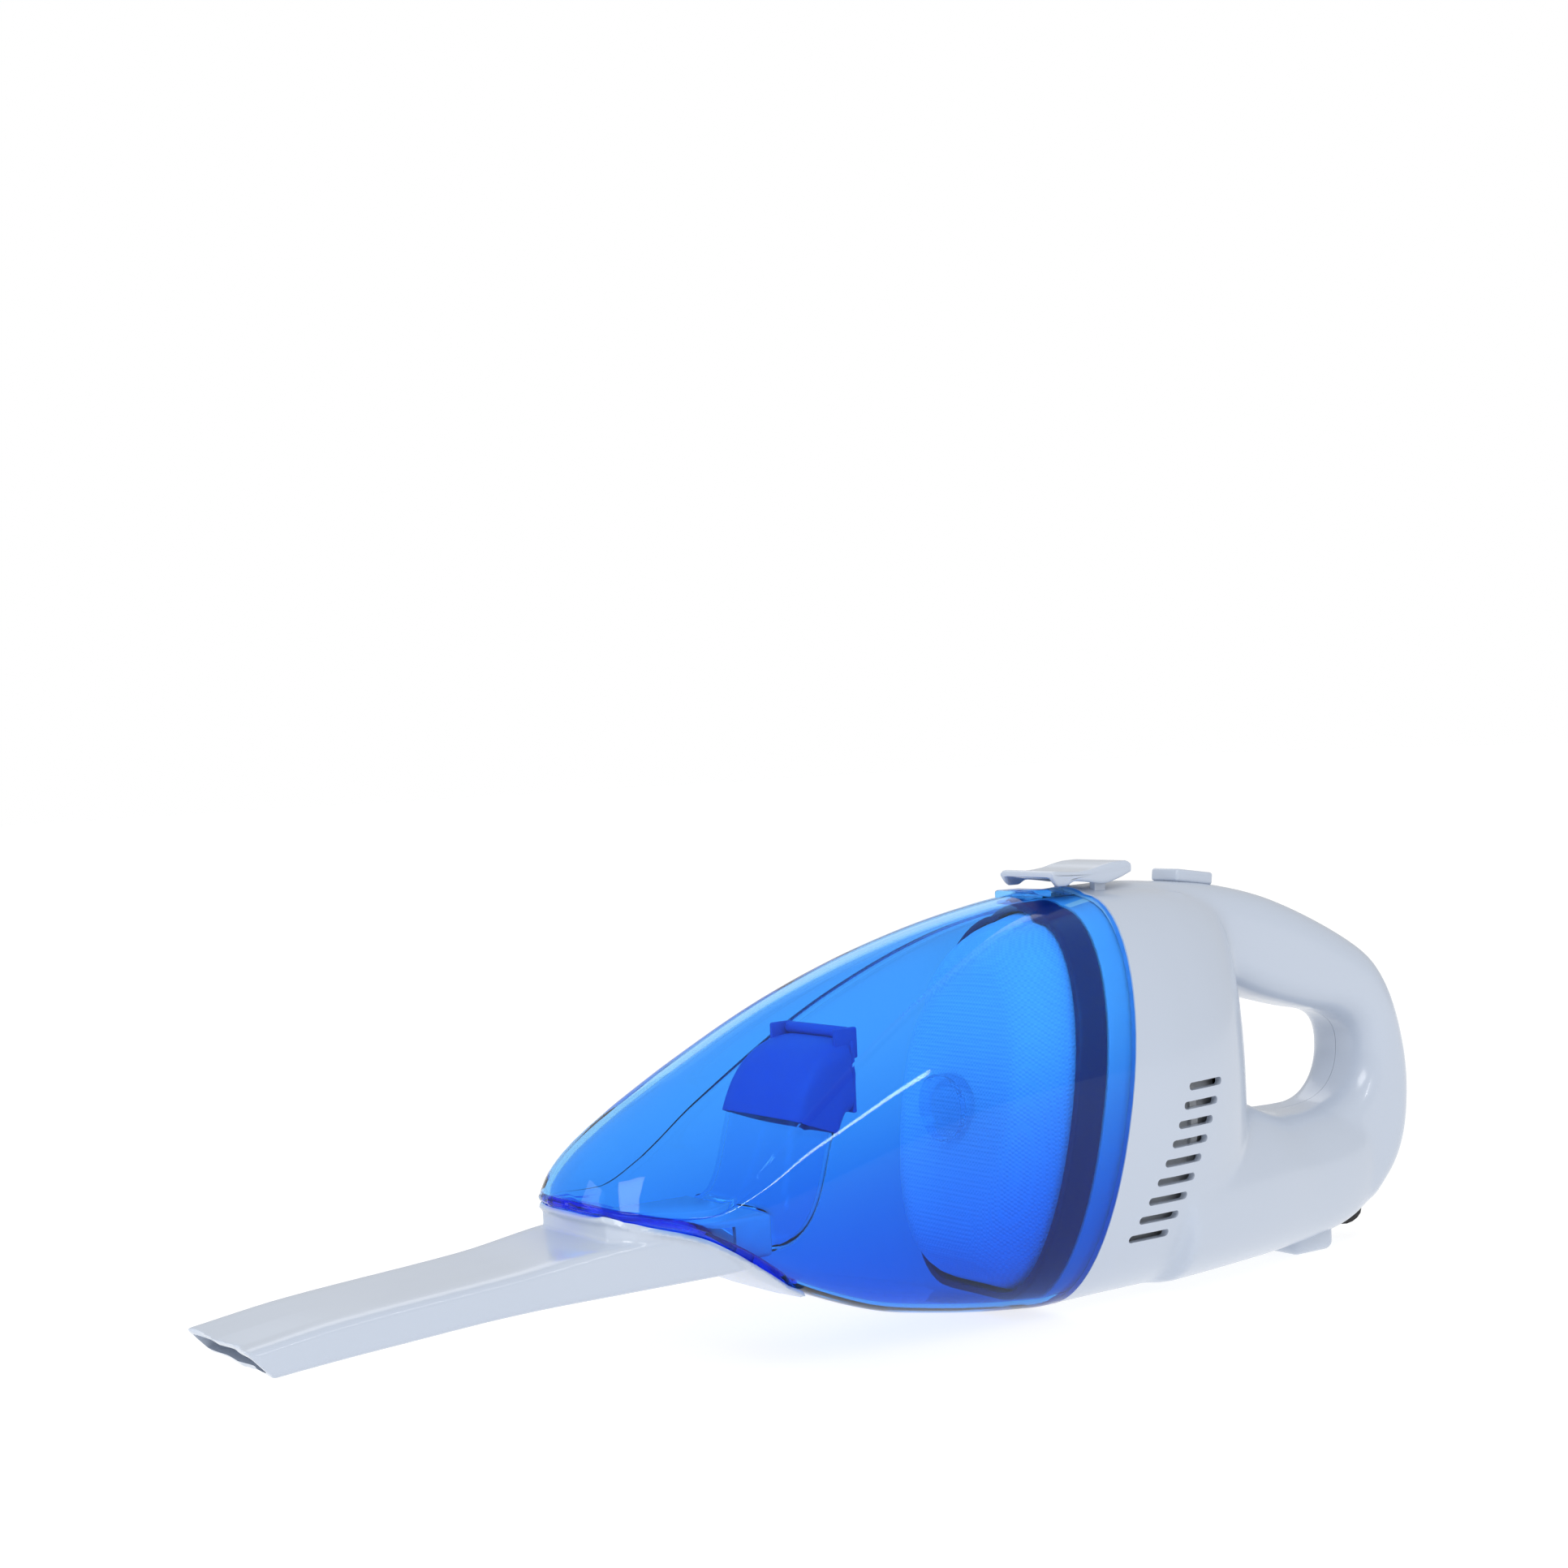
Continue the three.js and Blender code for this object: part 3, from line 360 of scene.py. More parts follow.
def section(size, x, inset):
    """Half of a cross-section as (y, z), from the top middle to the bottom middle."""
    top = size["roof"](x) - inset
    low = size["floor"](x) + inset
    wide = size["broad"](x) - inset
    mid = size["broad_z"](x)
    crease_y = min(size["crease_y"](x) - 0.6 * inset, wide - 0.2)
    crease_z = size["crease_z"](x) - 0.8 * inset
    keel = min(size["keel_y"](x), wide * 0.6)
    half = []
    for a in steps(0, ARCH_ANGLE, ARCH_STEPS)[:-1]:
        arch = (math.cos(a) - math.cos(ARCH_ANGLE)) / (1 - math.cos(ARCH_ANGLE))
        half.append((crease_y * math.sin(a) / math.sin(ARCH_ANGLE), crease_z + (top - crease_z) * arch))
    for a in steps(0, math.pi / 2, SIDE_STEPS)[:-1]:
        half.append((crease_y + (wide - crease_y) * math.sin(a), mid + (crease_z - mid) * math.cos(a)))
    for a in steps(0, math.pi / 2, SIDE_STEPS):
        y = keel + (wide - keel) * max(math.cos(a), 0) ** BELLY_POWER
        half.append((y, mid - (mid - low) * math.sin(a) ** BELLY_POWER))
    return half


def whole(half):
    return half + [(-y, z) for y, z in reversed(half[1:])]


def body_ring(x, inset, lean, size=BODY):
    """A closed cross-section whose plane leans back with height by a share of the joint's slope."""
    ring = whole(section(size, x, inset))
    out = []
    for i, (y, z) in enumerate(ring):
        for _ in range(3):
            back = lean * JOINT_SLOPE * (z - JOINT_Z)
            y, z = whole(section(size, x + back, inset))[i]
        out.append(place(x + lean * JOINT_SLOPE * (z - JOINT_Z), y, z))
    return out


def side_y(size, x, z, inset):
    """Half width of a section at a height, on its lower half below the broadest point."""
    half = section(size, x, inset)
    for (y0, z0), (y1, z1) in zip(half, half[1:]):
        if z1 <= z <= z0 and y0 > 0:
            return y0 + (y1 - y0) * (z0 - z) / max(z0 - z1, 1e-9)
    return half[-1][0] if z < half[-1][1] else 0.0


def lean_at(x):
    """How much of the joint's lean a bowl section has: none at the nose, all at the joint."""
    t = min(max((x + 70) / 55, 0), 1)
    return t * t * (3 - 2 * t)


# ---- Surface effects shared by the finishes -------------------------------------------------------


def new_group(name, inputs, outputs):
    """A shader node group with its sockets, or None if it has been made already."""
    if name in bpy.data.node_groups:
        return None
    tree = bpy.data.node_groups.new(name, "ShaderNodeTree")
    for label, kind, value in inputs:
        s = tree.interface.new_socket(name=label, in_out="INPUT", socket_type=kind)
        if value is not None:
            s.default_value = value
    for label, kind in outputs:
        tree.interface.new_socket(name=label, in_out="OUTPUT", socket_type=kind)
    return tree


def node(tree, kind, **values):
    n = tree.nodes.new(kind)
    for key, value in values.items():
        setattr(n, key, value)
    return n


def math_node(tree, how, a, b=None, clamp=False):
    n = node(tree, "ShaderNodeMath", operation=how, use_clamp=clamp)
    for i, v in enumerate((a, b)):
        if v is None:
            continue
        if isinstance(v, (int, float)):
            n.inputs[i].default_value = v
        else:
            tree.links.new(v, n.inputs[i])
    return n.outputs[0]


FLOAT = "NodeSocketFloat"
COLOUR = "NodeSocketColor"
WHITE = (1, 1, 1, 1)


def noise(tree, scale, detail=2.0, vector=None):
    """Noise on the object's own coordinates; scale is a number or a socket."""
    n = node(tree, "ShaderNodeTexNoise")
    n.inputs["Detail"].default_value = detail
    if isinstance(scale, (int, float)):
        n.inputs["Scale"].default_value = scale
    else:
        tree.links.new(scale, n.inputs["Scale"])
    tree.links.new(vector or object_place(tree), n.inputs["Vector"])
    return n.outputs["Fac"]


def object_place(tree):
    return node(tree, "ShaderNodeTexCoord").outputs["Object"]


def split(tree, vector):
    """The X, Y and Z of a vector."""
    n = node(tree, "ShaderNodeSeparateXYZ")
    tree.links.new(vector, n.inputs[0])
    return n.outputs


def mixed(tree, mask, a, b):
    n = node(tree, "ShaderNodeMix", data_type="RGBA")
    for value, name in ((mask, "Factor"), (a, "A"), (b, "B")):
        tree.links.new(value, n.inputs[name])
    return n.outputs["Result"]


def make_effects():
    """Builds the shared shader node groups once."""
    t = new_group(
        "Moulded Surface",
        [("Grain Scale", FLOAT, 900.0), ("Roughness", FLOAT, 0.3), ("Roughness Spread", FLOAT, 0.06)],
        [("Height", FLOAT), ("Roughness", FLOAT)],
    )
    if t:
        given, made = node(t, "NodeGroupInput").outputs, node(t, "NodeGroupOutput").inputs
        fine = noise(t, given["Grain Scale"], 3)
        spread = math_node(t, "SUBTRACT", noise(t, 55, 5), 0.5)
        spread = math_node(t, "MULTIPLY", spread, given["Roughness Spread"])
        spread = math_node(t, "MULTIPLY", spread, 2.0)
        t.links.new(math_node(t, "ADD", spread, given["Roughness"], True), made["Roughness"])
        t.links.new(fine, made["Height"])
    t = new_group(
        "Settled Dust",
        [("Colour", COLOUR, WHITE), ("Dust Colour", COLOUR, (0.5, 0.5, 0.48, 1)), ("Amount", FLOAT, 0.1)],
        [("Colour", COLOUR)],
    )
    if t:
        given, made = node(t, "NodeGroupInput").outputs, node(t, "NodeGroupOutput").inputs
        facing = split(t, node(t, "ShaderNodeNewGeometry").outputs["Normal"])
        up = math_node(t, "MULTIPLY", facing["Z"], 0.6)
        up = math_node(t, "ADD", up, 0.4, True)
        mask = math_node(t, "MULTIPLY", noise(t, 38, 8), noise(t, 1500))
        mask = math_node(t, "MULTIPLY", mask, up)
        mask = math_node(t, "MULTIPLY", mask, given["Amount"], True)
        t.links.new(mixed(t, mask, given["Colour"], given["Dust Colour"]), made["Colour"])
    # Painted shade: the bowl's blue turns deeper lower down, along a slightly tilted, wandering edge,
    # standing in for the darker reflections on its belly.
    t = new_group(
        "Painted Belly Shade",
        [("Colour", COLOUR, WHITE), ("Deep", COLOUR, (0.5, 0.5, 0.5, 1))],
        [("Colour", COLOUR)],
    )
    if t:
        given, made = node(t, "NodeGroupInput").outputs, node(t, "NodeGroupOutput").inputs
        at = split(t, object_place(t))
        wander = math_node(t, "MULTIPLY", noise(t, 14), 0.012)
        level = math_node(t, "ADD", at["Z"], wander)
        ahead = math_node(t, "MULTIPLY", at["X"], -0.15)
        level = math_node(t, "ADD", level, ahead)
        painted_shade_fall = node(t, "ShaderNodeMapRange", interpolation_type="SMOOTHSTEP")
        painted_shade_fall.inputs["From Min"].default_value = PAINTED_SHADE_LEVELS[0]
        painted_shade_fall.inputs["From Max"].default_value = PAINTED_SHADE_LEVELS[1]
        t.links.new(level, painted_shade_fall.inputs["Value"])
        t.links.new(mixed(t, painted_shade_fall.outputs[0], given["Colour"], given["Deep"]), made["Colour"])
    t = new_group(
        "Woven Threads",
        [
            ("Threads", FLOAT, 900.0),
            ("Light", COLOUR, (0.8, 0.85, 0.9, 1)),
            ("Deep", COLOUR, (0.4, 0.5, 0.7, 1)),
        ],
        [("Colour", COLOUR), ("Height", FLOAT)],
    )
    if t:
        given, made = node(t, "NodeGroupInput").outputs, node(t, "NodeGroupOutput").inputs
        at = split(t, object_place(t))
        waves = []
        for axis in ("X", "Y", "Z"):
            waves.append(math_node(t, "SINE", math_node(t, "MULTIPLY", at[axis], given["Threads"])))
        along = math_node(t, "MULTIPLY", waves[0], waves[2])
        across = math_node(t, "MULTIPLY", waves[1], waves[2])
        height = math_node(t, "MULTIPLY", math_node(t, "ADD", along, across), 0.5)
        height = math_node(t, "ADD", height, 0.5, True)
        t.links.new(mixed(t, height, given["Deep"], given["Light"]), made["Colour"])
        t.links.new(height, made["Height"])
    t = new_group(
        "Turned Metal",
        [
            ("Colour", COLOUR, (0.6, 0.6, 0.6, 1)),
            ("Stain", COLOUR, (0.3, 0.3, 0.3, 1)),
            ("Lines", FLOAT, 2600.0),
        ],
        [("Colour", COLOUR), ("Height", FLOAT), ("Roughness", FLOAT)],
    )
    if t:
        given, made = node(t, "NodeGroupInput").outputs, node(t, "NodeGroupOutput").inputs
        stretch = node(t, "ShaderNodeMapping")
        stretch.inputs["Scale"].default_value = (1, 0.05, 0.05)
        t.links.new(object_place(t), stretch.inputs["Vector"])
        stain = noise(t, 210, 6)
        mask = math_node(t, "SUBTRACT", stain, 0.48)
        mask = math_node(t, "MULTIPLY", mask, 2.5, True)
        t.links.new(mixed(t, mask, given["Colour"], given["Stain"]), made["Colour"])
        t.links.new(noise(t, given["Lines"], vector=stretch.outputs[0]), made["Height"])
        rough = math_node(t, "MULTIPLY", stain, 0.3)
        t.links.new(math_node(t, "ADD", rough, 0.16), made["Roughness"])


def material(name):
    m = bpy.data.materials.new("finish " + name)
    m.use_nodes = True
    m.node_tree.nodes.clear()
    out = node(m.node_tree, "ShaderNodeOutputMaterial")
    shader = node(m.node_tree, "ShaderNodeBsdfPrincipled")
    m.node_tree.links.new(shader.outputs[0], out.inputs[0])
    return m, m.node_tree, shader, out


def group(tree, name, **values):
    g = node(tree, "ShaderNodeGroup")
    g.node_tree = bpy.data.node_groups[name]
    for key, value in values.items():
        g.inputs[key.replace("_", " ")].default_value = value
    return g


def bump(tree, shader, height, distance, strength=1.0):
    b = node(tree, "ShaderNodeBump")
    b.inputs["Strength"].default_value = strength
    b.inputs["Distance"].default_value = distance * MM
    tree.links.new(height, b.inputs["Height"])
    tree.links.new(b.outputs[0], shader.inputs["Normal"])


def rgb(colour):
    return (colour[0], colour[1], colour[2], 1.0)


def coated(tree, shader, colour, dust_colour, dust, grain, roughness, depth, spread=0.06):
    """Links a dusted colour, given as a colour or a socket, and a moulded grain to a shader."""
    surface = group(tree, "Moulded Surface", Grain_Scale=grain, Roughness=roughness, Roughness_Spread=spread)
    settled = group(tree, "Settled Dust", Dust_Colour=rgb(dust_colour), Amount=dust)
    if isinstance(colour, bpy.types.NodeSocket):
        tree.links.new(colour, settled.inputs["Colour"])
    else:
        settled.inputs["Colour"].default_value = rgb(colour)
    tree.links.new(settled.outputs["Colour"], shader.inputs["Base Color"])
    tree.links.new(surface.outputs["Roughness"], shader.inputs["Roughness"])
    bump(tree, shader, surface.outputs["Height"], depth)


GREY_DUST = (0.45, 0.46, 0.48)


def plastic(name, colour, roughness, dust=0.05, grain=900.0, depth=0.004, dust_colour=GREY_DUST, coat=0.0):
    m, tree, shader, _ = material(name)
    coated(tree, shader, colour, dust_colour, dust, grain, roughness, depth)
    shader.inputs["IOR"].default_value = 1.5
    shader.inputs["Coat Weight"].default_value = coat
    shader.inputs["Coat Roughness"].default_value = 0.08
    return m


def clear_plastic(name, colour, roughness, painted_shade=None):
    """See-through tinted plastic that lets light reach what is behind it."""
    m, tree, shader, out = material(name)
    # Painted shade: the group's Deep colour darkens the tint lower on the bowl, standing in for darker
    # reflections there; with no darker colour given there is none.
    tint = group(tree, "Painted Belly Shade", Colour=rgb(colour), Deep=rgb(painted_shade or colour))
    coated(tree, shader, tint.outputs["Colour"], (0.3, 0.5, 0.8), 0.03, 260.0, roughness, 0.003, 0.02)
    shader.inputs["IOR"].default_value = 1.07
    shader.inputs["Transmission Weight"].default_value = 1.0
    shader.inputs["Coat Weight"].default_value = 0.45
    shader.inputs["Coat IOR"].default_value = 1.5
    shader.inputs["Coat Roughness"].default_value = 0.03
    through = node(tree, "ShaderNodeBsdfTransparent")
    through.inputs["Color"].default_value = rgb([c**0.5 for c in colour])
    path = node(tree, "ShaderNodeLightPath")
    mix = node(tree, "ShaderNodeMixShader")
    mixed_in = (path.outputs["Is Shadow Ray"], shader.outputs[0], through.outputs[0])
    for value, socket in zip(mixed_in, mix.inputs):
        tree.links.new(value, socket)
    tree.links.new(mix.outputs[0], out.inputs[0])
    return m


def rubber(name, colour):
    m, tree, shader, _ = material(name)
    coated(tree, shader, colour, (0.32, 0.32, 0.31), 0.22, 1700.0, 0.62, 0.03, 0.12)
    return m


def metal(name, colour, stain):
    m, tree, shader, _ = material(name)
    turned_metal = group(tree, "Turned Metal", Colour=rgb(colour), Stain=rgb(stain))
    tree.links.new(turned_metal.outputs["Colour"], shader.inputs["Base Color"])
    tree.links.new(turned_metal.outputs["Roughness"], shader.inputs["Roughness"])
    shader.inputs["Metallic"].default_value = 1.0
    bump(tree, shader, turned_metal.outputs["Height"], 0.01)
    return m


def cloth(name):
    m, tree, shader, _ = material(name)
    weave = group(
        tree, "Woven Threads", Threads=5200.0, Light=(0.66, 0.75, 0.88, 1), Deep=(0.54, 0.64, 0.80, 1)
    )
    settled = group(tree, "Settled Dust", Dust_Colour=(0.3, 0.29, 0.27, 1), Amount=0.5)
    tree.links.new(weave.outputs["Colour"], settled.inputs["Colour"])
    tree.links.new(settled.outputs["Colour"], shader.inputs["Base Color"])
    shader.inputs["Roughness"].default_value = 0.9
    shader.inputs["Sheen Weight"].default_value = 0.3
    bump(tree, shader, weave.outputs["Height"], 0.12)
    return m


# ---- Settings -----------------------------------------------------------------------------------


def size_of(name, description, default, low, high):
    return bpy.props.FloatProperty(
        name=name, description=description, default=default * MM, min=low * MM, max=high * MM, unit="LENGTH"
    )


def colour_of(name, description, default):
    return bpy.props.FloatVectorProperty(
        name=name, description=description, default=default, size=3, min=0, max=1, subtype="COLOR"
    )


class VacuumSizes(bpy.types.PropertyGroup):
    """Sizes of the visible pieces."""

    shell_wall: size_of("Shell Wall", "Thickness of the white housing shells", 2.2, 1.2, 3.5)
    bowl_wall: size_of("Bowl Wall", "Thickness of the clear dust bowl", 2.2, 1.2, 3.0)
    nozzle_wall: size_of("Nozzle Wall", "Thickness of the crevice nozzle", 1.4, 0.8, 2.5)
    vent_height: size_of("Vent Height", "Height of each cooling slot", 2.1, 1.0, 3.0)
    vent_length: size_of("Vent Length", "Length of each cooling slot", 14.4, 8.0, 18.0)
    blend_steps: bpy.props.IntProperty(
        name="Blend Steps", description="How softly the handle flows into the body", default=30, min=0, max=60
    )


class VacuumColours(bpy.types.PropertyGroup):
    """Colours of the visible finishes."""

    shell: colour_of("Shell", "White gloss plastic of housing, latch and nozzle", (0.50, 0.56, 0.665))
    inner: colour_of("Inner Parts", "Dull white plastic inside the body", (0.62, 0.64, 0.66))
    bowl: colour_of("Bowl", "Tint of the clear dust bowl", (0.20, 0.56, 0.98))
    # Painted shade: the darker blue that the bowl is painted with towards its belly, standing in for darker
    # reflections there.
    bowl_painted_shade: colour_of("Bowl Painted Shade", "Tint of the dust bowl towards its belly", (0.02, 0.29, 0.84))
    navy: colour_of("Filter Frame", "Navy plastic of the filter frame", (0.002, 0.009, 0.08))
    flap: colour_of("Flap", "Rubber of the inlet flap", (0.008, 0.07, 0.40))
    gland: colour_of("Cord Gland", "Black rubber of the cord gland", (0.012, 0.011, 0.013))
    foot: colour_of("Feet", "Grey rubber of the bowl's foot", (0.12, 0.14, 0.17))


def sizes():
    return bpy.context.scene.vacuum_sizes


def colours():
    return bpy.context.scene.vacuum_colours


finishes = {}


def finish_of(name):
    """The finish for one of the record's material slots, made when first asked for."""
    if name not in finishes:
        make_effects()
        c = colours()
        makers = {
            "white_shell": lambda: plastic(name, c.shell, 0.24, dust=0.05, depth=0.003, coat=0.25),
            "inner_white": lambda: plastic(name, c.inner, 0.45, dust=0.3),
            # The bowl's second colour is painted shade towards its belly.
            "clear_blue": lambda: clear_plastic(name, c.bowl, 0.03, c.bowl_painted_shade),
            "clear_inner": lambda: clear_plastic(name, [0.78 + 0.21 * v for v in c.bowl], 0.05),
            "clear_rim": lambda: clear_plastic(name, (0.03, 0.14, 0.92), 0.04),
            "navy": lambda: plastic(name, c.navy, 0.35, dust=0.12, dust_colour=(0.1, 0.14, 0.25)),
            "filter_cloth": lambda: cloth(name),
            "black_rubber": lambda: rubber(name, c.gland),
            "grey_rubber": lambda: rubber(name, c.foot),
            "flap_rubber": lambda: rubber(name, c.flap),
            "steel": lambda: metal(name, (0.55, 0.56, 0.58), (0.32, 0.31, 0.3)),
            "brass": lambda: metal(name, (0.72, 0.5, 0.2), (0.4, 0.26, 0.12)),
            "magnet": lambda: plastic(name, (0.05, 0.05, 0.055), 0.6, dust=0.2, grain=2400.0, depth=0.02),
            "copper": lambda: metal(name, (0.75, 0.32, 0.16), (0.35, 0.14, 0.08)),
            "black_plastic": lambda: plastic(name, (0.02, 0.021, 0.024), 0.42, dust=0.15),
        }
        finishes[name] = makers[name]()
    return finishes[name]


def declare(o, body, slot, *nodes, look=None):
    """Gives a piece its finish and body, and hides the CAD nodes that it stands for."""
    o.data.materials.clear()
    o.data.materials.append(finish_of(look or slot))
    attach(o, body)
    if nodes:
        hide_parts(*nodes)


def refinish(*names):
    """Gives CAD nodes that stay as they are their finish."""
    for name in names:
        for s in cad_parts[name].material_slots:
            s.material = finish_of(s.name)


# ---- Housing --------------------------------------------------------------------------------------

HANDLE_OUT = [(30, 110.5), (38, 111.6), (47, 111.2), (61.7, 108.9), (78.4, 104.4), (98, 96.2), (114.6, 87.1),
              (122.3, 79.5), (127.7, 69), (131.2, 55), (131.7, 42.4), (129.6, 30.3), (124.6, 20.6),
              (115.5, 11.8)]
HANDLE_HEEL = [(104, 8), (70, 8), (30, 12)]
GRIP = [(54.8, 83), (60, 81.4), (74, 75.8), (90, 71.4), (104, 68.2), (110.8, 62.5), (110.4, 52), (104, 44.6),
        (92, 41.8), (74, 42.6), (62.5, 47), (58.6, 56), (56.2, 70), (54.4, 80)]


FOOT_LOW, FOOT_HIGH = (80.5, -10.5, 0), (97, 10.5, 9)
SCREW_WELLS = ((120.8, 48), (86, 87), (101, 26), (33, 100))
SCREW_WELL_RADIUS = 2.9
PIN_HOLE_RADIUS = 1.3
CORD_HOLE_AT = (111, 0, 15)
CORD_HOLE_RADIUS = 3.5
CORD_TURN = math.radians(50)
FORM_VOXEL = 0.95
HOLLOW_VOXEL = 1.5
BAFFLE_INSET = 5.2
BAFFLE_WALL = 0.8
SPIGOT_SPAN = (-7.2, 2.4)  # from the joint
SPIGOT_INSET = 2.5
SPIGOT_WALL = 1.4


def grown(loop, by):
    """A closed clockwise outline grown outward."""
    out = []
    for i, (x, z) in enumerate(loop):
        ax, az = loop[i - 1]
        bx, bz = loop[(i + 1) % len(loop)]
        dx, dz = bx - ax, bz - az
        size = math.hypot(dx, dz)
        out.append((x - dz / size * by, z + dx / size * by))
    return out


def stack(name, loop, levels):
    """Grown outlines (x, z) stacked across the width at (y, growth) levels."""
    rings = [[place(x, y, z) for x, z in grown(loop, by)] for y, by in levels]
    return loft(name, rings)


def rear_solid():
    """The closed outer form of the housing before it is hollowed."""
    parts = []
    for size, start, end in ((REAR, -18, 60), (BASE, 20, 118)):
        rings = [body_ring(x, 0, 0, size=size) for x in steps(start, end, 34)]
        parts.append(loft("housing form", rings))
    half = HANDLE_WIDTH / 2
    turn = steps(0, math.pi / 2, 7)
    flat = half - HANDLE_ROUND
    edge = [(flat + HANDLE_ROUND * math.sin(a), HANDLE_ROUND * (1 - math.cos(a))) for a in turn]
    outer = [(-y, -g) for y, g in reversed(edge)] + [(y, -g) for y, g in edge]
    flare = edge + [(half + 1, HANDLE_ROUND)]
    inner = [(-y, g) for y, g in reversed(flare)] + flare
    handle = stack("handle form", spline(HANDLE_OUT, 90) + HANDLE_HEEL, outer)
    combine(handle, stack("grip", spline(GRIP, 90, True), inner), "DIFFERENCE")
    o = parts[0]
    combine(o, parts[1], "UNION")
    combine(o, handle, "UNION")
    combine(o, stack("grip", spline(GRIP, 90, True), [(-45, 0), (45, 0)]), "DIFFERENCE")
    apply(o, "REMESH", mode="VOXEL", voxel_size=FORM_VOXEL * MM)
    apply(o, "SMOOTH", factor=0.5, iterations=sizes().blend_steps)
    return o


def vent_cutters():
    s = sizes()
    cutters = []
    round_end = s.vent_height / MM / 2
    reach = s.vent_length / MM / 2 - round_end
    for t in steps(0, 1, VENTS - 1):
        x = VENT_TOP[0] + (VENT_LOW[0] - VENT_TOP[0]) * t
        z = VENT_TOP[1] + (VENT_LOW[1] - VENT_TOP[1]) * t
        outline = [
            (x + side * reach + round_end * math.sin(a) * side, z + round_end * math.cos(a) * side)
            for side in (1, -1)
            for a in steps(0, math.pi, 8)
        ]
        rings = [[place(px, y, pz) for px, pz in outline] for y in (-45, 45)]
        cutters.append(loft("vent", rings))
    return cutters


def lug_form(y, grow):
    """A lug that holds an end of the latch's pin, or its pocket in the latch when grown."""
    half_x, half_y = LUG_RADIUS + 2 * grow, LUG_THICK / 2 + grow
    o = block("lug", (LATCH_X - half_x, y - half_y, 108), (LATCH_X + half_x, y + half_y, LATCH_Z))
    combine(o, rod("lug top", (LATCH_X, y, LATCH_Z), LUG_RADIUS + grow, 2 * half_y, "Y", 24), "UNION")
    return o


def vent_baffle(name, side):
    """A thin wall that follows the shell behind the vents of one side."""
    across = steps(-4, 33, 16)
    heights = steps(14, 64, 16)
    points = [place(x, side * side_y(REAR, x, min(z, 57), BAFFLE_INSET), z) for x in across for z in heights]
    n = len(heights)
    faces = [
        (i * n + k, i * n + k + 1, (i + 1) * n + k + 1, (i + 1) * n + k)
        for i in range(len(across) - 1)
        for k in range(n - 1)
    ]
    baffle = mesh_object(name, points, faces)
    apply(baffle, "SOLIDIFY", thickness=BAFFLE_WALL * MM, offset=0)
    outward(baffle)
    smooth(baffle, 60)
    declare(baffle, "housing", "inner_white")


class VACUUM_OT_housing(bpy.types.Operator):
    """Builds both white housing shells with vents, handle and rear foot"""

    bl_idname = "vacuum.housing"
    bl_label = "Housing Shells"

    def execute(self, context):
        outer = rear_solid()
        activate(outer)
        bpy.ops.object.duplicate()
        inner = bpy.context.object
        apply(inner, "DISPLACE", strength=-sizes().shell_wall, mid_level=0, direction="NORMAL")
        apply(inner, "REMESH", mode="VOXEL", voxel_size=HOLLOW_VOXEL * MM)
        foot = block("foot", FOOT_LOW, FOOT_HIGH)
        rounded(foot, 2.8, 6)
        combine(outer, foot, "UNION")
        for s in (-1, 1):
            combine(outer, lug_form(s * LUG_Y, 0), "UNION")
        combine(outer, inner, "DIFFERENCE")
        combine(outer, beside_joint(GAP / 2, True), "DIFFERENCE")
        for cutter in vent_cutters():
            combine(outer, cutter, "DIFFERENCE")
        combine(outer, rod("pin hole", (LATCH_X, 0, LATCH_Z), PIN_HOLE_RADIUS, 30, "Y", 24), "DIFFERENCE")
        slot = block("slot", (48, -1.6, 106), (59, 1.6, 117))
        combine(outer, turned(slot, math.atan(SLIDER_TILT), (SLIDER_AT[0], 0, SLIDER_AT[1])), "DIFFERENCE")
        hole = rod("cord hole", CORD_HOLE_AT, CORD_HOLE_RADIUS, 24, "X", 32)
        combine(outer, turned(hole, CORD_TURN, CORD_HOLE_AT), "DIFFERENCE")
        activate(outer)
        bpy.ops.object.duplicate()
        right = bpy.context.object
        combine(outer, block("half", (-100, -SEAM / 2, -20), (200, 80, 200)), "DIFFERENCE")
        combine(right, block("half", (-100, -80, -20), (200, SEAM / 2, 200)), "DIFFERENCE")
        for x, z in SCREW_WELLS:
            combine(right, rod("screw well", (x, 25, z), SCREW_WELL_RADIUS, 42, "Y", 28), "DIFFERENCE")
        for o, name in ((outer, "housing_left"), (right, "housing_right")):
            o.name = name + "_shell"
            smooth(o, 40)
            declare(o, "housing", "white_shell", name)
        for side, name in ((-1, "left"), (1, "right")):
            vent_baffle("vent_baffle_" + name, side)
        rings = [body_ring(JOINT_X + shift, SPIGOT_INSET, 1.0) for shift in steps(*SPIGOT_SPAN, 6)]
        spigot = loft("bowl_spigot", rings, shut_start=False, shut_end=False)
        walled(spigot, SPIGOT_WALL * MM)
        rounded(spigot, 0.4, 2, 50)
        smooth(spigot, 40)
        declare(spigot, "housing", "inner_white")
        return {"FINISHED"}


# ---- Dust bowl ----------------------------------------------------------------------------------


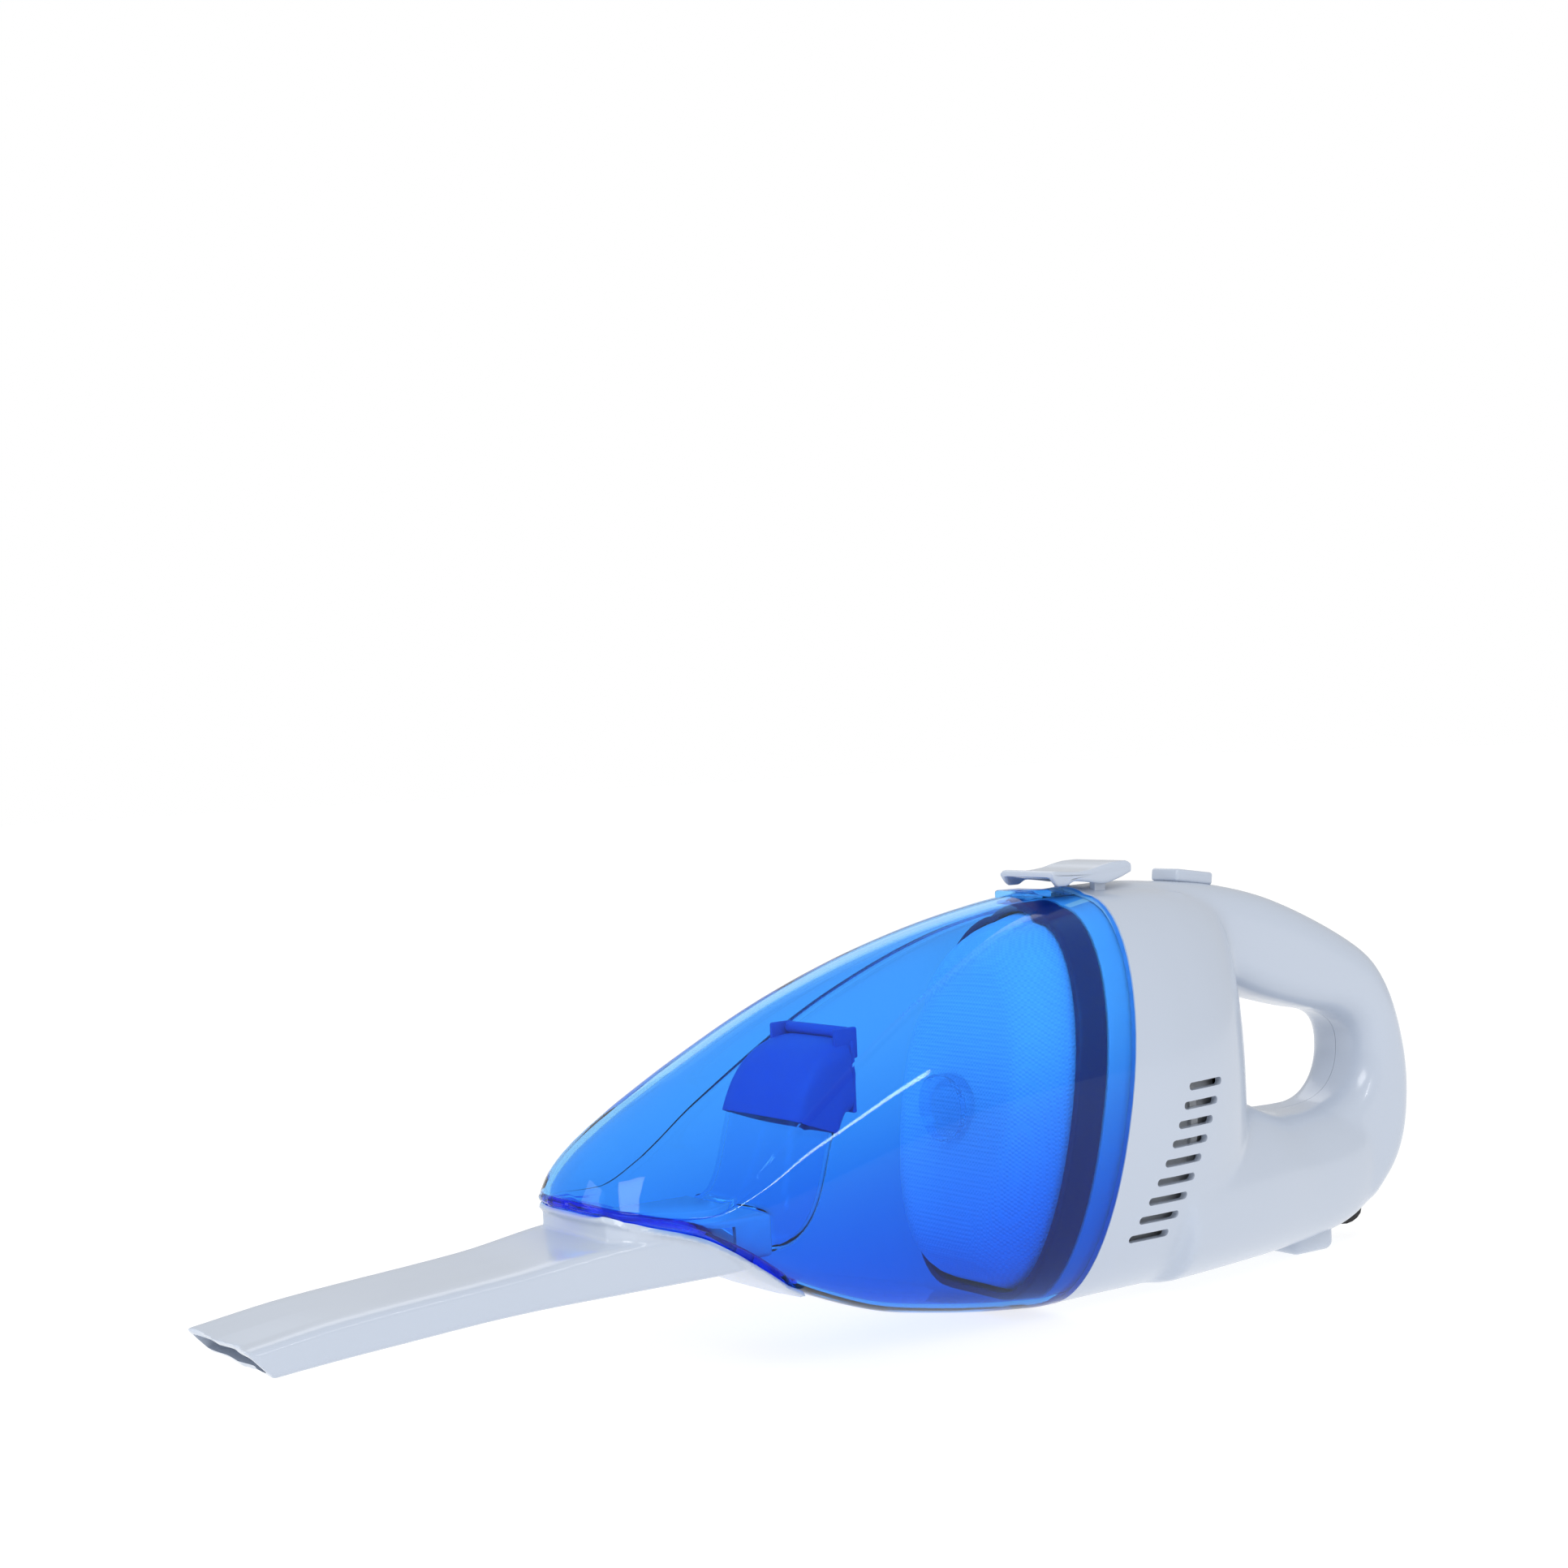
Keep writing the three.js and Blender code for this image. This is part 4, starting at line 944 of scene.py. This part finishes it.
class VACUUM_OT_bowl(bpy.types.Operator):
    """Builds the clear blue dust bowl with its crease, mouth and catch tab"""

    bl_idname = "vacuum.bowl"
    bl_label = "Dust Bowl"

    def execute(self, context):
        end = JOINT_X - GAP / 2
        at = [-157, -156.6, -156, -155, -154, -152.5, -150, -147, -143] + steps(-139, end, 58)
        rings = [body_ring(x, 0, lean_at(x)) for x in at]
        o = loft("dust_bowl_shell", rings, shut_end=False)
        apply(o, "SMOOTH", factor=0.5, iterations=1, use_x=False)
        walled(o, sizes().bowl_wall, use_quality_normals=True)
        mouth = block(
            "mouth",
            (-175, -PLUG_HALF_W - GAP, PLUG_Z - PLUG_HALF_H - GAP),
            (-106, PLUG_HALF_W + GAP, PLUG_Z + PLUG_HALF_H + GAP),
        )
        apply(o, "BOOLEAN", operation="DIFFERENCE", object=mouth, solver="EXACT")
        bpy.data.objects.remove(mouth)
        smooth(o, 28)
        declare(o, "bowl", "clear_blue", "dust_bowl")
        side = []
        for x in steps(-101, -156.6, 60):
            z = max(RIM_Z(x), BODY["floor"](x) + 0.3)
            side.append((x, side_y(BODY, x, z, 0.9), z + 0.2))
        front = [(-156.9, y, 48.4) for y in steps(side[-1][1], -side[-1][1], 10)[1:-1]]
        route = side + front + [(x, -y, z) for x, y, z in reversed(side)]
        rings = []
        for i, p in enumerate(route):
            along = (Vector(route[min(i + 1, len(route) - 1)]) - Vector(route[max(i - 1, 0)])).normalized()
            out = along.cross(Vector((0, 0, 1))).normalized()
            over = out.cross(along)
            ring = []
            for a in steps(0, 2 * math.pi, 12)[:-1]:
                q = Vector(p) + out * (0.9 * math.cos(a)) + over * (1.25 * math.sin(a))
                ring.append(place(*q))
            rings.append(ring)
        rim = loft("bowl_rim", rings)
        smooth(rim, 60)
        declare(rim, "bowl", "clear_blue", look="clear_rim")
        tab = block("bowl_catch", (-12, -7, 110.2), (-3, 7, 112.8))
        rounded(tab, 0.8)
        smooth(tab)
        declare(tab, "bowl", "clear_blue")
        return {"FINISHED"}


# ---- Filter --------------------------------------------------------------------------------------


FRAME_SPAN = (-17, -7.6)  # from the joint
FRAME_INSET = 2.7
FRAME_WALL = 2.0
CUP_RIM_SHIFT = -8.4
CUP_INSET = 5.0
CUP_WALL = 1.2
CUP_DEPTH = 22
BUTTON_AT = (-37.2, 0, 57)
BUTTON_RADIUS = 9
BUTTON_LENGTH = 5.6
BUTTON_RIM = 1.8
BUTTON_DISH = 3.6


class VACUUM_OT_filter(bpy.types.Operator):
    """Builds the filter's navy frame, cloth cup and pull button"""

    bl_idname = "vacuum.filter"
    bl_label = "Filter"

    def execute(self, context):
        rings = [body_ring(JOINT_X + shift, FRAME_INSET, 1.0) for shift in steps(*FRAME_SPAN, 6)]
        band = loft("filter_band", rings, shut_start=False, shut_end=False)
        walled(band, FRAME_WALL * MM)
        rounded(band, 0.5, 2, 50)
        smooth(band, 40)
        declare(band, "filter", "navy", "filter_frame")
        rings = []
        rim = body_ring(JOINT_X + CUP_RIM_SHIFT, CUP_INSET, 1.0)
        centre = sum(rim, Vector()) / len(rim)
        for u in steps(0, 1, 22):
            angle = u * math.pi / 2
            share = 0.60 + 0.40 * math.cos(angle) ** 0.8
            ahead = Vector((-(CUP_DEPTH * math.sin(angle) ** 1.2) * MM, 0, 0))
            rings.append([centre + (p - centre) * share + ahead for p in rim])
        for share in (0.5, 0.38, 0.24, 0.1):
            ahead = Vector((-(CUP_DEPTH + 1.2 * (0.6 - share)) * MM, 0, 0))
            rings.append([centre + (p - centre) * share + ahead for p in rim])
        cup = loft("filter_cloth_cup", rings, shut_start=False)
        apply(cup, "SOLIDIFY", thickness=CUP_WALL * MM, offset=-1)
        smooth(cup, 60)
        declare(cup, "filter", "filter_cloth", "filter_cup")
        button = rod("filter_pull_button", BUTTON_AT, BUTTON_RADIUS, BUTTON_LENGTH, "X", 64)
        activate(button)
        bpy.ops.object.mode_set(mode="EDIT")
        bpy.ops.mesh.select_all(action="DESELECT")
        bpy.ops.object.mode_set(mode="OBJECT")
        for face in button.data.polygons:
            face.select = face.normal.x < -0.9
        bpy.ops.object.mode_set(mode="EDIT")
        bpy.ops.mesh.inset(thickness=BUTTON_RIM * MM)
        bpy.ops.transform.translate(value=(BUTTON_DISH * MM, 0, 0))
        bpy.ops.mesh.inset(thickness=0.8 * MM)
        bpy.ops.object.mode_set(mode="OBJECT")
        rounded(button, 0.5, 3)
        smooth(button)
        declare(button, "filter", "inner_white", "filter_button", look="clear_inner")
        return {"FINISHED"}


# ---- Inlet -----------------------------------------------------------------------------------------


DUCT_PATH = [(-106.5, PLUG_Z + 0.4), (-90, PLUG_Z + 0.4), (-97, 71), (-79.5, 71)]
DUCT_WALL = 1.4
SEAT_WALL = 0.85
FLAP_HINGE = (-78.4, 0, 81.8)
BARREL_RADIUS = 1.6


def bezier(points, u):
    a, b, c, d = points
    v = 1 - u
    return tuple(v**3 * a[k] + 3 * v * v * u * b[k] + 3 * v * u * u * c[k] + u**3 * d[k] for k in (0, 1))


def duct_rings(start, end, count, extra):
    """Rounded sections along the duct, between two shares of its run."""
    rings = []
    for u in steps(start, end, count):
        x, z = bezier(DUCT_PATH, u)
        ax, az = bezier(DUCT_PATH, max(u - 0.01, 0))
        bx, bz = bezier(DUCT_PATH, min(u + 0.01, 1))
        size = math.hypot(bx - ax, bz - az)
        tx, tz = (bx - ax) / size, (bz - az) / size
        half_w = PLUG_HALF_W - 3.5 * u + extra
        half_h = PLUG_HALF_H + 0.6 + 3 * u + extra
        ring = []
        for a in steps(0, 2 * math.pi, 56)[:-1]:
            rise = half_h * soft(math.cos(a), 0.4)
            ring.append(place(x - tz * rise, half_w * soft(math.sin(a), 0.4), z + tx * rise))
        rings.append(ring)
    return rings


class VACUUM_OT_inlet(bpy.types.Operator):
    """Builds the rising inlet duct with its seat, and the rubber flap"""

    bl_idname = "vacuum.inlet"
    bl_label = "Inlet"

    def execute(self, context):
        duct = loft("inlet_duct_wall", duct_rings(0, 1, 30, 0), shut_start=False, shut_end=False)
        walled(duct, DUCT_WALL * MM)
        smooth(duct, 40)
        declare(duct, "bowl", "clear_blue", "inlet_duct", look="clear_inner")
        seat = loft("flap_seat", duct_rings(0.62, 0.995, 14, 0.9), shut_start=False, shut_end=False)
        walled(seat, SEAT_WALL * MM)
        rounded(seat, 0.25, 2, 50)
        ears = []
        for s in (-1, 1):
            ear = block("ear", (-83.4, s * 13.9 - 0.7, 75.5), (-76.4, s * 13.9 + 0.7, 83.4))
            rounded(ear, 0.5, 2)
            ears.append(ear)
        seat = joined("flap_seat", [seat, *ears])
        smooth(seat)
        declare(seat, "bowl", "flap_rubber")
        flap = block("inlet_flap_rubber", (-79, -15, 61.8), (-77.7, 15, 80))
        rounded(flap, 0.45, 3)
        barrel = rod("barrel", FLAP_HINGE, BARREL_RADIUS, 24.8, "Y", 24)
        rounded(barrel, 0.3, 2)
        neck = block("neck", (-79, -12.4, 78.5), (-77.8, 12.4, 81.5))
        flap = joined("inlet_flap_rubber", [flap, barrel, neck])
        smooth(flap)
        declare(flap, "flap", "flap_rubber", "inlet_flap")
        refinish("flap_pin")
        return {"FINISHED"}


# ---- Nozzle ----------------------------------------------------------------------------------------

NOZZLE_TOP = line([(-246, 30.6), (-223, 33.6), (-176, 37.2), (-146, 40.6), (-128, 41)])
NOZZLE_LOW = line([(-246, 23.4), (-238, 24), (-214, 25.2), (-180, 27.1), (-146, 27.8), (-118, 28.4)])
NOZZLE_HALF = line([(-246, 18), (-176, 18.6), (-150, 20.6), (-124, 23)])
RIM_Z = line([(-157, 48.2), (-150, 45.6), (-140, 42.6), (-131, 39.8), (-122, 35), (-112, 28.6), (-104, 23.4),
              (-99, 20.2)])
COLLAR_STEPS = 16
COLLAR_WALL = 1.7
TIP_BLEND = 34  # how far back from the tip its slant fades out
NOZZLE_VOXEL = 0.5


def nozzle_ring(x, inset, share):
    """A rounded section of the nozzle; share is how much of the tip's slant it takes."""
    top = NOZZLE_TOP(x) - inset
    low = NOZZLE_LOW(x) + inset
    half = NOZZLE_HALF(x) - inset
    mid, rise = (top + low) / 2, (top - low) / 2
    ring = []
    for a in steps(0, 2 * math.pi, 72)[:-1]:
        y = half * soft(math.sin(a), 0.22)
        z = mid + rise * soft(math.cos(a), 0.22)
        back = 0.95 * (NOZZLE_TOP(x) - z) + 0.7 * (1 - math.cos(y * 0.32)) + 0.35 * math.sin(y * 0.5)
        ring.append(place(x + share * max(back, 0), y, z))
    return ring


def nozzle_form(inset, ahead):
    """The nozzle's closed outer form, or its bore when inset; ahead carries it past the tip."""
    rings = []
    for x in [CAD_TIP_X - ahead] + steps(CAD_TIP_X, -119, 60):
        t = min(max((x - CAD_TIP_X) / TIP_BLEND, 0), 1)
        rings.append(nozzle_ring(x, inset, 1 - t * t * (3 - 2 * t)))
    return loft("nozzle form", rings)


def collar_form():
    """The lip that cups the underside of the bowl, following its surface."""
    rings = []
    for x in steps(-154, -101, 48):
        top = max(RIM_Z(x) - 1.0, BODY["floor"](x) + 0.4)
        edge = side_y(BODY, x, top, -0.3)
        half = [(edge, top)] + [p for p in section(BODY, x, -0.3)[-SIDE_STEPS:] if p[1] < top]
        run = [0.0]
        for a, b in zip(half, half[1:]):
            run.append(run[-1] + math.dist(a, b))
        half_even = []
        for want in steps(0, run[-1], COLLAR_STEPS):
            k = max(i for i in range(len(run) - 1) if run[i] <= want) if len(run) > 1 else 0
            t = (want - run[k]) / max(run[k + 1] - run[k], 1e-9)
            half_even.append(tuple(half[k][i] + (half[k + 1][i] - half[k][i]) * t for i in (0, 1)))
        low = half_even[-1][1]
        inner = half_even + [(half_even[-1][0] * t, low) for t in (0.5, 0)]
        outer = [(y + COLLAR_WALL * 0.7, z - COLLAR_WALL * 0.8) for y, z in half_even]
        outer += [(half_even[-1][0] * t, low - COLLAR_WALL) for t in (0.5, 0)]
        right = [place(x, y, z) for y, z in inner]
        right_out = [place(x, y, z) for y, z in outer]
        left = [place(x, -y, z) for y, z in inner]
        left_out = [place(x, -y, z) for y, z in outer]
        rings.append(right + left[-2::-1] + left_out + right_out[-2::-1])
    return loft("collar form", rings)


class VACUUM_OT_nozzle(bpy.types.Operator):
    """Builds the white crevice nozzle with its slanted tip and the collar under the bowl"""

    bl_idname = "vacuum.nozzle"
    bl_label = "Crevice Nozzle"

    def execute(self, context):
        o = nozzle_form(0, 0)
        bore = nozzle_form(sizes().nozzle_wall / MM, 6)
        rings = []
        for x in steps(-153, -116, 14):
            half = min(BODY["broad"](x) - 1.5, NOZZLE_HALF(x) - 0.5)
            low, high = NOZZLE_TOP(x) - 3, BODY["floor"](x) + 1.5
            corners = ((-half, low), (half, low), (half, high), (-half, high))
            rings.append([place(x, y, z) for y, z in corners])
        parts = [o, collar_form(), loft("fill", rings)]
        whole_form = joined("crevice_nozzle_shell", parts)
        apply(whole_form, "REMESH", mode="VOXEL", voxel_size=NOZZLE_VOXEL * MM)
        apply(whole_form, "SMOOTH", factor=0.5, iterations=4)
        along = [-157.3, -157, -156, -154, -150, -145] + steps(-139, -60, 40)
        seat = loft("seat", [body_ring(x, -GAP, 0) for x in along])
        combine(whole_form, seat, "DIFFERENCE")
        plug = block("plug", (-140, -PLUG_HALF_W, 30.7), (-108, PLUG_HALF_W, 41.1))
        rounded(plug, 1.2, 3)
        combine(whole_form, plug, "UNION")
        combine(whole_form, bore, "DIFFERENCE")
        way = block("way", (-132, -17.6, 32.1), (-100, 17.6, 39.7))
        combine(whole_form, way, "DIFFERENCE")
        smooth(whole_form, 35)
        declare(whole_form, "nozzle", "white_shell", "crevice_nozzle")
        return {"FINISHED"}


# ---- Latch, switch and small parts -------------------------------------------------------------


LATCH_TOP = line([(-6, 117.1), (-5, 117.8), (-2, 117.5), (3, 117.15), (8, 117.5), (13, 118.5), (17, 119),
                  (21, 119.05), (22.4, 118.3)])
LATCH_UNDER = line([(-6, 116.2), (-4, 115.6), (13, 115.3), (22.4, 116)])
LATCH_SKIRT = line([(-6, 116), (-5, 114.4), (-3.8, 113.5), (-1, 113.5), (2, 114.6), (6, 114.2), (13, 113.3),
                    (18, 114.3), (22.4, 115.8)])


class VACUUM_OT_latch(bpy.types.Operator):
    """Builds the rocking thumb latch with its two front legs"""

    bl_idname = "vacuum.latch"
    bl_label = "Latch"

    def execute(self, context):
        rings = []
        for angle in steps(-math.pi / 2, math.pi / 2, 40):
            y = LATCH_HALF_WIDTH * soft(math.sin(angle), 0.8)
            pinch = 1 - abs(math.sin(angle)) ** 60
            t = min(max((abs(y) - 8.7) / 0.9, 0), 1)
            skirt = t * t * (3 - 2 * t)
            ring = []
            for x in steps(-6, 22.4, 40):
                low = LATCH_UNDER(x) + (LATCH_SKIRT(x) - LATCH_UNDER(x)) * skirt
                ring.append((x, LATCH_TOP(x), low))
            mid = [(x, (top + low) / 2) for x, top, low in ring]
            upper = [(x, m + (top - m) * (0.35 + 0.65 * pinch)) for (x, top, _), (_, m) in zip(ring, mid)]
            under = [(x, m + (low - m) * (0.35 + 0.65 * pinch)) for (x, _, low), (_, m) in zip(ring, mid)]
            rings.append([place(x, y, z) for x, z in upper + under[::-1]])
        o = loft("latch_thumb_plate", rings)
        rounded(o, 0.35, 3, 50)
        knuckle = rod("knuckle", (LATCH_X, 0, LATCH_Z), 2.1, 11.6, "Y", 32)
        combine(o, knuckle, "UNION")
        combine(o, rod("pin way", (LATCH_X, 0, LATCH_Z), PIN_HOLE_RADIUS, 17.6, "Y", 24), "DIFFERENCE")
        for s in (-1, 1):
            combine(o, lug_form(s * LUG_Y, 0.2), "DIFFERENCE")
        smooth(o, 50)
        declare(o, "latch", "white_shell", "latch")
        refinish("latch_pin")
        return {"FINISHED"}


class VACUUM_OT_switch(bpy.types.Operator):
    """Builds the ribbed switch slider and finishes the switch inside"""

    bl_idname = "vacuum.switch"
    bl_label = "Switch"

    def execute(self, context):
        x, z = SLIDER_AT[0] - 2, SLIDER_AT[1] + 0.3
        cap = block("switch_thumb_slider", (x - 7, -5.4, z - 0.2), (x + 7, 5.4, z + 3.4))
        rounded(cap, 0.8, 4)
        stem = block("stem", (x - 2, -1.2, z - 7.5), (x + 2, 1.2, z + 1.6))
        combine(cap, stem, "UNION")
        for shift in (-3.6, -1.2, 1.2, 3.6):
            groove = rod("groove", (x + shift, 0, z + 3.65), 0.55, 8.4, "Y", 20)
            combine(cap, groove, "DIFFERENCE")
        turned(cap, math.atan(SLIDER_TILT), (x, 0, z))
        smooth(cap)
        declare(cap, "switch", "white_shell", "switch_slider")
        refinish("switch_body")
        return {"FINISHED"}


class VACUUM_OT_fittings(bpy.types.Operator):
    """Finishes the screws, cord gland and foot"""

    bl_idname = "vacuum.fittings"
    bl_label = "Fittings"

    def execute(self, context):
        refinish("screw_1", "screw_2", "screw_3", "screw_4", "cord_gland", "bowl_foot")
        return {"FINISHED"}


class VACUUM_OT_motor(bpy.types.Operator):
    """Finishes the fan and motor inside the housing"""

    bl_idname = "vacuum.motor"
    bl_label = "Fan and Motor"

    def execute(self, context):
        refinish(
            "intake_grille", "motor_bulkhead", "impeller", "impeller_nut", "motor_can", "magnet_left",
            "magnet_right", "motor_cap", "motor_shaft", "armature", "commutator", "brush_left", "brush_right",
            "terminal_left", "terminal_right",
        )
        return {"FINISHED"}


# ---- Stage -----------------------------------------------------------------------------------------


def softbox(name, where, target, width, height, power, colour=(1, 1, 1)):
    light = bpy.data.lights.new(name, "AREA")
    light.shape = "RECTANGLE"
    light.size = width
    light.size_y = height
    light.energy = power
    light.color = colour
    o = bpy.data.objects.new(name, light)
    bpy.context.scene.collection.objects.link(o)
    o.location = where
    o.rotation_euler = (Vector(target) - Vector(where)).to_track_quat("-Z", "Y").to_euler()
    return o


EYE_YAW, EYE_PITCH, EYE_ROLL = math.radians(35), math.radians(1.26), math.radians(2.65)
EYE_AIM = (0, 0, 56.7)
EYE_DISTANCE = 722.7
EYE_OFF_CENTRE = (0.102003, -0.116795)  # how far right and up of the middle the aim is seen, per distance
EYE_LENS = 60.466
FLOOR_GREY = 0.32
FLOOR_GLOW = 0.8
SKY_LIGHT = 0.62
SKY_SEEN = 1.0


class VACUUM_OT_stage(bpy.types.Operator):
    """Sets the floor, the soft studio light and the camera"""

    bl_idname = "vacuum.stage"
    bl_label = "Studio"

    def execute(self, context):
        scene = context.scene
        scene.view_settings.view_transform = "Standard"
        level = Vector((math.sin(EYE_YAW), math.cos(EYE_YAW), 0))
        ahead = level * math.cos(EYE_PITCH) - Vector((0, 0, math.sin(EYE_PITCH)))
        side = Vector((math.cos(EYE_YAW), -math.sin(EYE_YAW), 0))
        over = side.cross(ahead)
        right = side * math.cos(EYE_ROLL) - over * math.sin(EYE_ROLL)
        up = side * math.sin(EYE_ROLL) + over * math.cos(EYE_ROLL)
        off = right * EYE_OFF_CENTRE[0] + up * EYE_OFF_CENTRE[1]
        where = place(*EYE_AIM) - (off + ahead) * EYE_DISTANCE * MM
        camera = bpy.data.cameras.new("camera")
        camera.lens = EYE_LENS
        camera.sensor_width = 36
        camera.clip_start = 0.01
        eye = bpy.data.objects.new("camera", camera)
        scene.collection.objects.link(eye)
        eye.matrix_world = Matrix.Translation(where) @ Matrix(
            [[right[i], up[i], -ahead[i]] for i in range(3)]
        ).to_4x4()
        scene.camera = eye

        deselect()
        bpy.ops.mesh.primitive_plane_add(size=12, location=(0, 0, 0))
        floor = bpy.context.object
        floor.name = "studio_floor"
        m, tree, shader, _ = material("floor")
        shader.inputs["Base Color"].default_value = rgb([FLOOR_GREY] * 3)
        shader.inputs["Roughness"].default_value = 0.9
        shader.inputs["Emission Color"].default_value = (1, 1, 1, 1)
        shader.inputs["Emission Strength"].default_value = FLOOR_GLOW
        shader.inputs["Specular IOR Level"].default_value = 0.1
        floor.data.materials.append(m)

        world = bpy.data.worlds.new("studio")
        scene.world = world
        world.use_nodes = True
        tree = world.node_tree
        sky = tree.nodes["Background"]
        sky.inputs[0].default_value = (1, 1, 1, 1)
        path = node(tree, "ShaderNodeLightPath")
        seen = math_node(tree, "MAXIMUM", path.outputs["Is Camera Ray"], path.outputs["Is Transmission Ray"])
        power = math_node(tree, "MULTIPLY", seen, SKY_SEEN - SKY_LIGHT)
        power = math_node(tree, "ADD", power, SKY_LIGHT)
        tree.links.new(power, sky.inputs[1])
        lights = [
            softbox("key", (-0.7, -0.9, 1.1), (0, 0, 0.06), 0.7, 0.7, 8.5, (1, 0.99, 0.97)),
            softbox("side", (-1.2, 0.2, 0.5), (0, 0, 0.05), 0.5, 0.9, 4, (0.95, 0.98, 1)),
            softbox("rear", (0.6, 1.1, 0.9), (0, 0, 0.06), 0.9, 0.6, 1.5),
            softbox("sweep", (0.22, -1.15, 0.55), (-0.02, 0, 0.06), 0.4, 0.05, 1.1),
        ]
        return {"FINISHED"}


OPERATORS = (
    VACUUM_OT_housing,
    VACUUM_OT_bowl,
    VACUUM_OT_filter,
    VACUUM_OT_inlet,
    VACUUM_OT_nozzle,
    VACUUM_OT_latch,
    VACUUM_OT_switch,
    VACUUM_OT_fittings,
    VACUUM_OT_motor,
    VACUUM_OT_stage,
)


class VACUUM_PT_panel(bpy.types.Panel):
    """Lists the pieces and their settings"""

    bl_label = "Car Vacuum"
    bl_idname = "VACUUM_PT_panel"
    bl_space_type = "VIEW_3D"
    bl_region_type = "UI"
    bl_category = "Car Vacuum"

    def draw(self, context):
        for settings in (context.scene.vacuum_sizes, context.scene.vacuum_colours):
            box = self.layout.box()
            for key in settings.__annotations__:
                box.prop(settings, key)
        column = self.layout.column(align=True)
        for operator in OPERATORS:
            column.operator(operator.bl_idname)


CLASSES = (VacuumSizes, VacuumColours, *OPERATORS, VACUUM_PT_panel)


def register():
    for c in CLASSES:
        bpy.utils.register_class(c)
    bpy.types.Scene.vacuum_sizes = bpy.props.PointerProperty(type=VacuumSizes)
    bpy.types.Scene.vacuum_colours = bpy.props.PointerProperty(type=VacuumColours)


def unregister():
    del bpy.types.Scene.vacuum_colours
    del bpy.types.Scene.vacuum_sizes
    for c in reversed(CLASSES):
        bpy.utils.unregister_class(c)


def main():
    register()
    for operator in OPERATORS:
        category, name = operator.bl_idname.split(".")
        getattr(getattr(bpy.ops, category), name)()


if __name__ == "__main__":
    main()
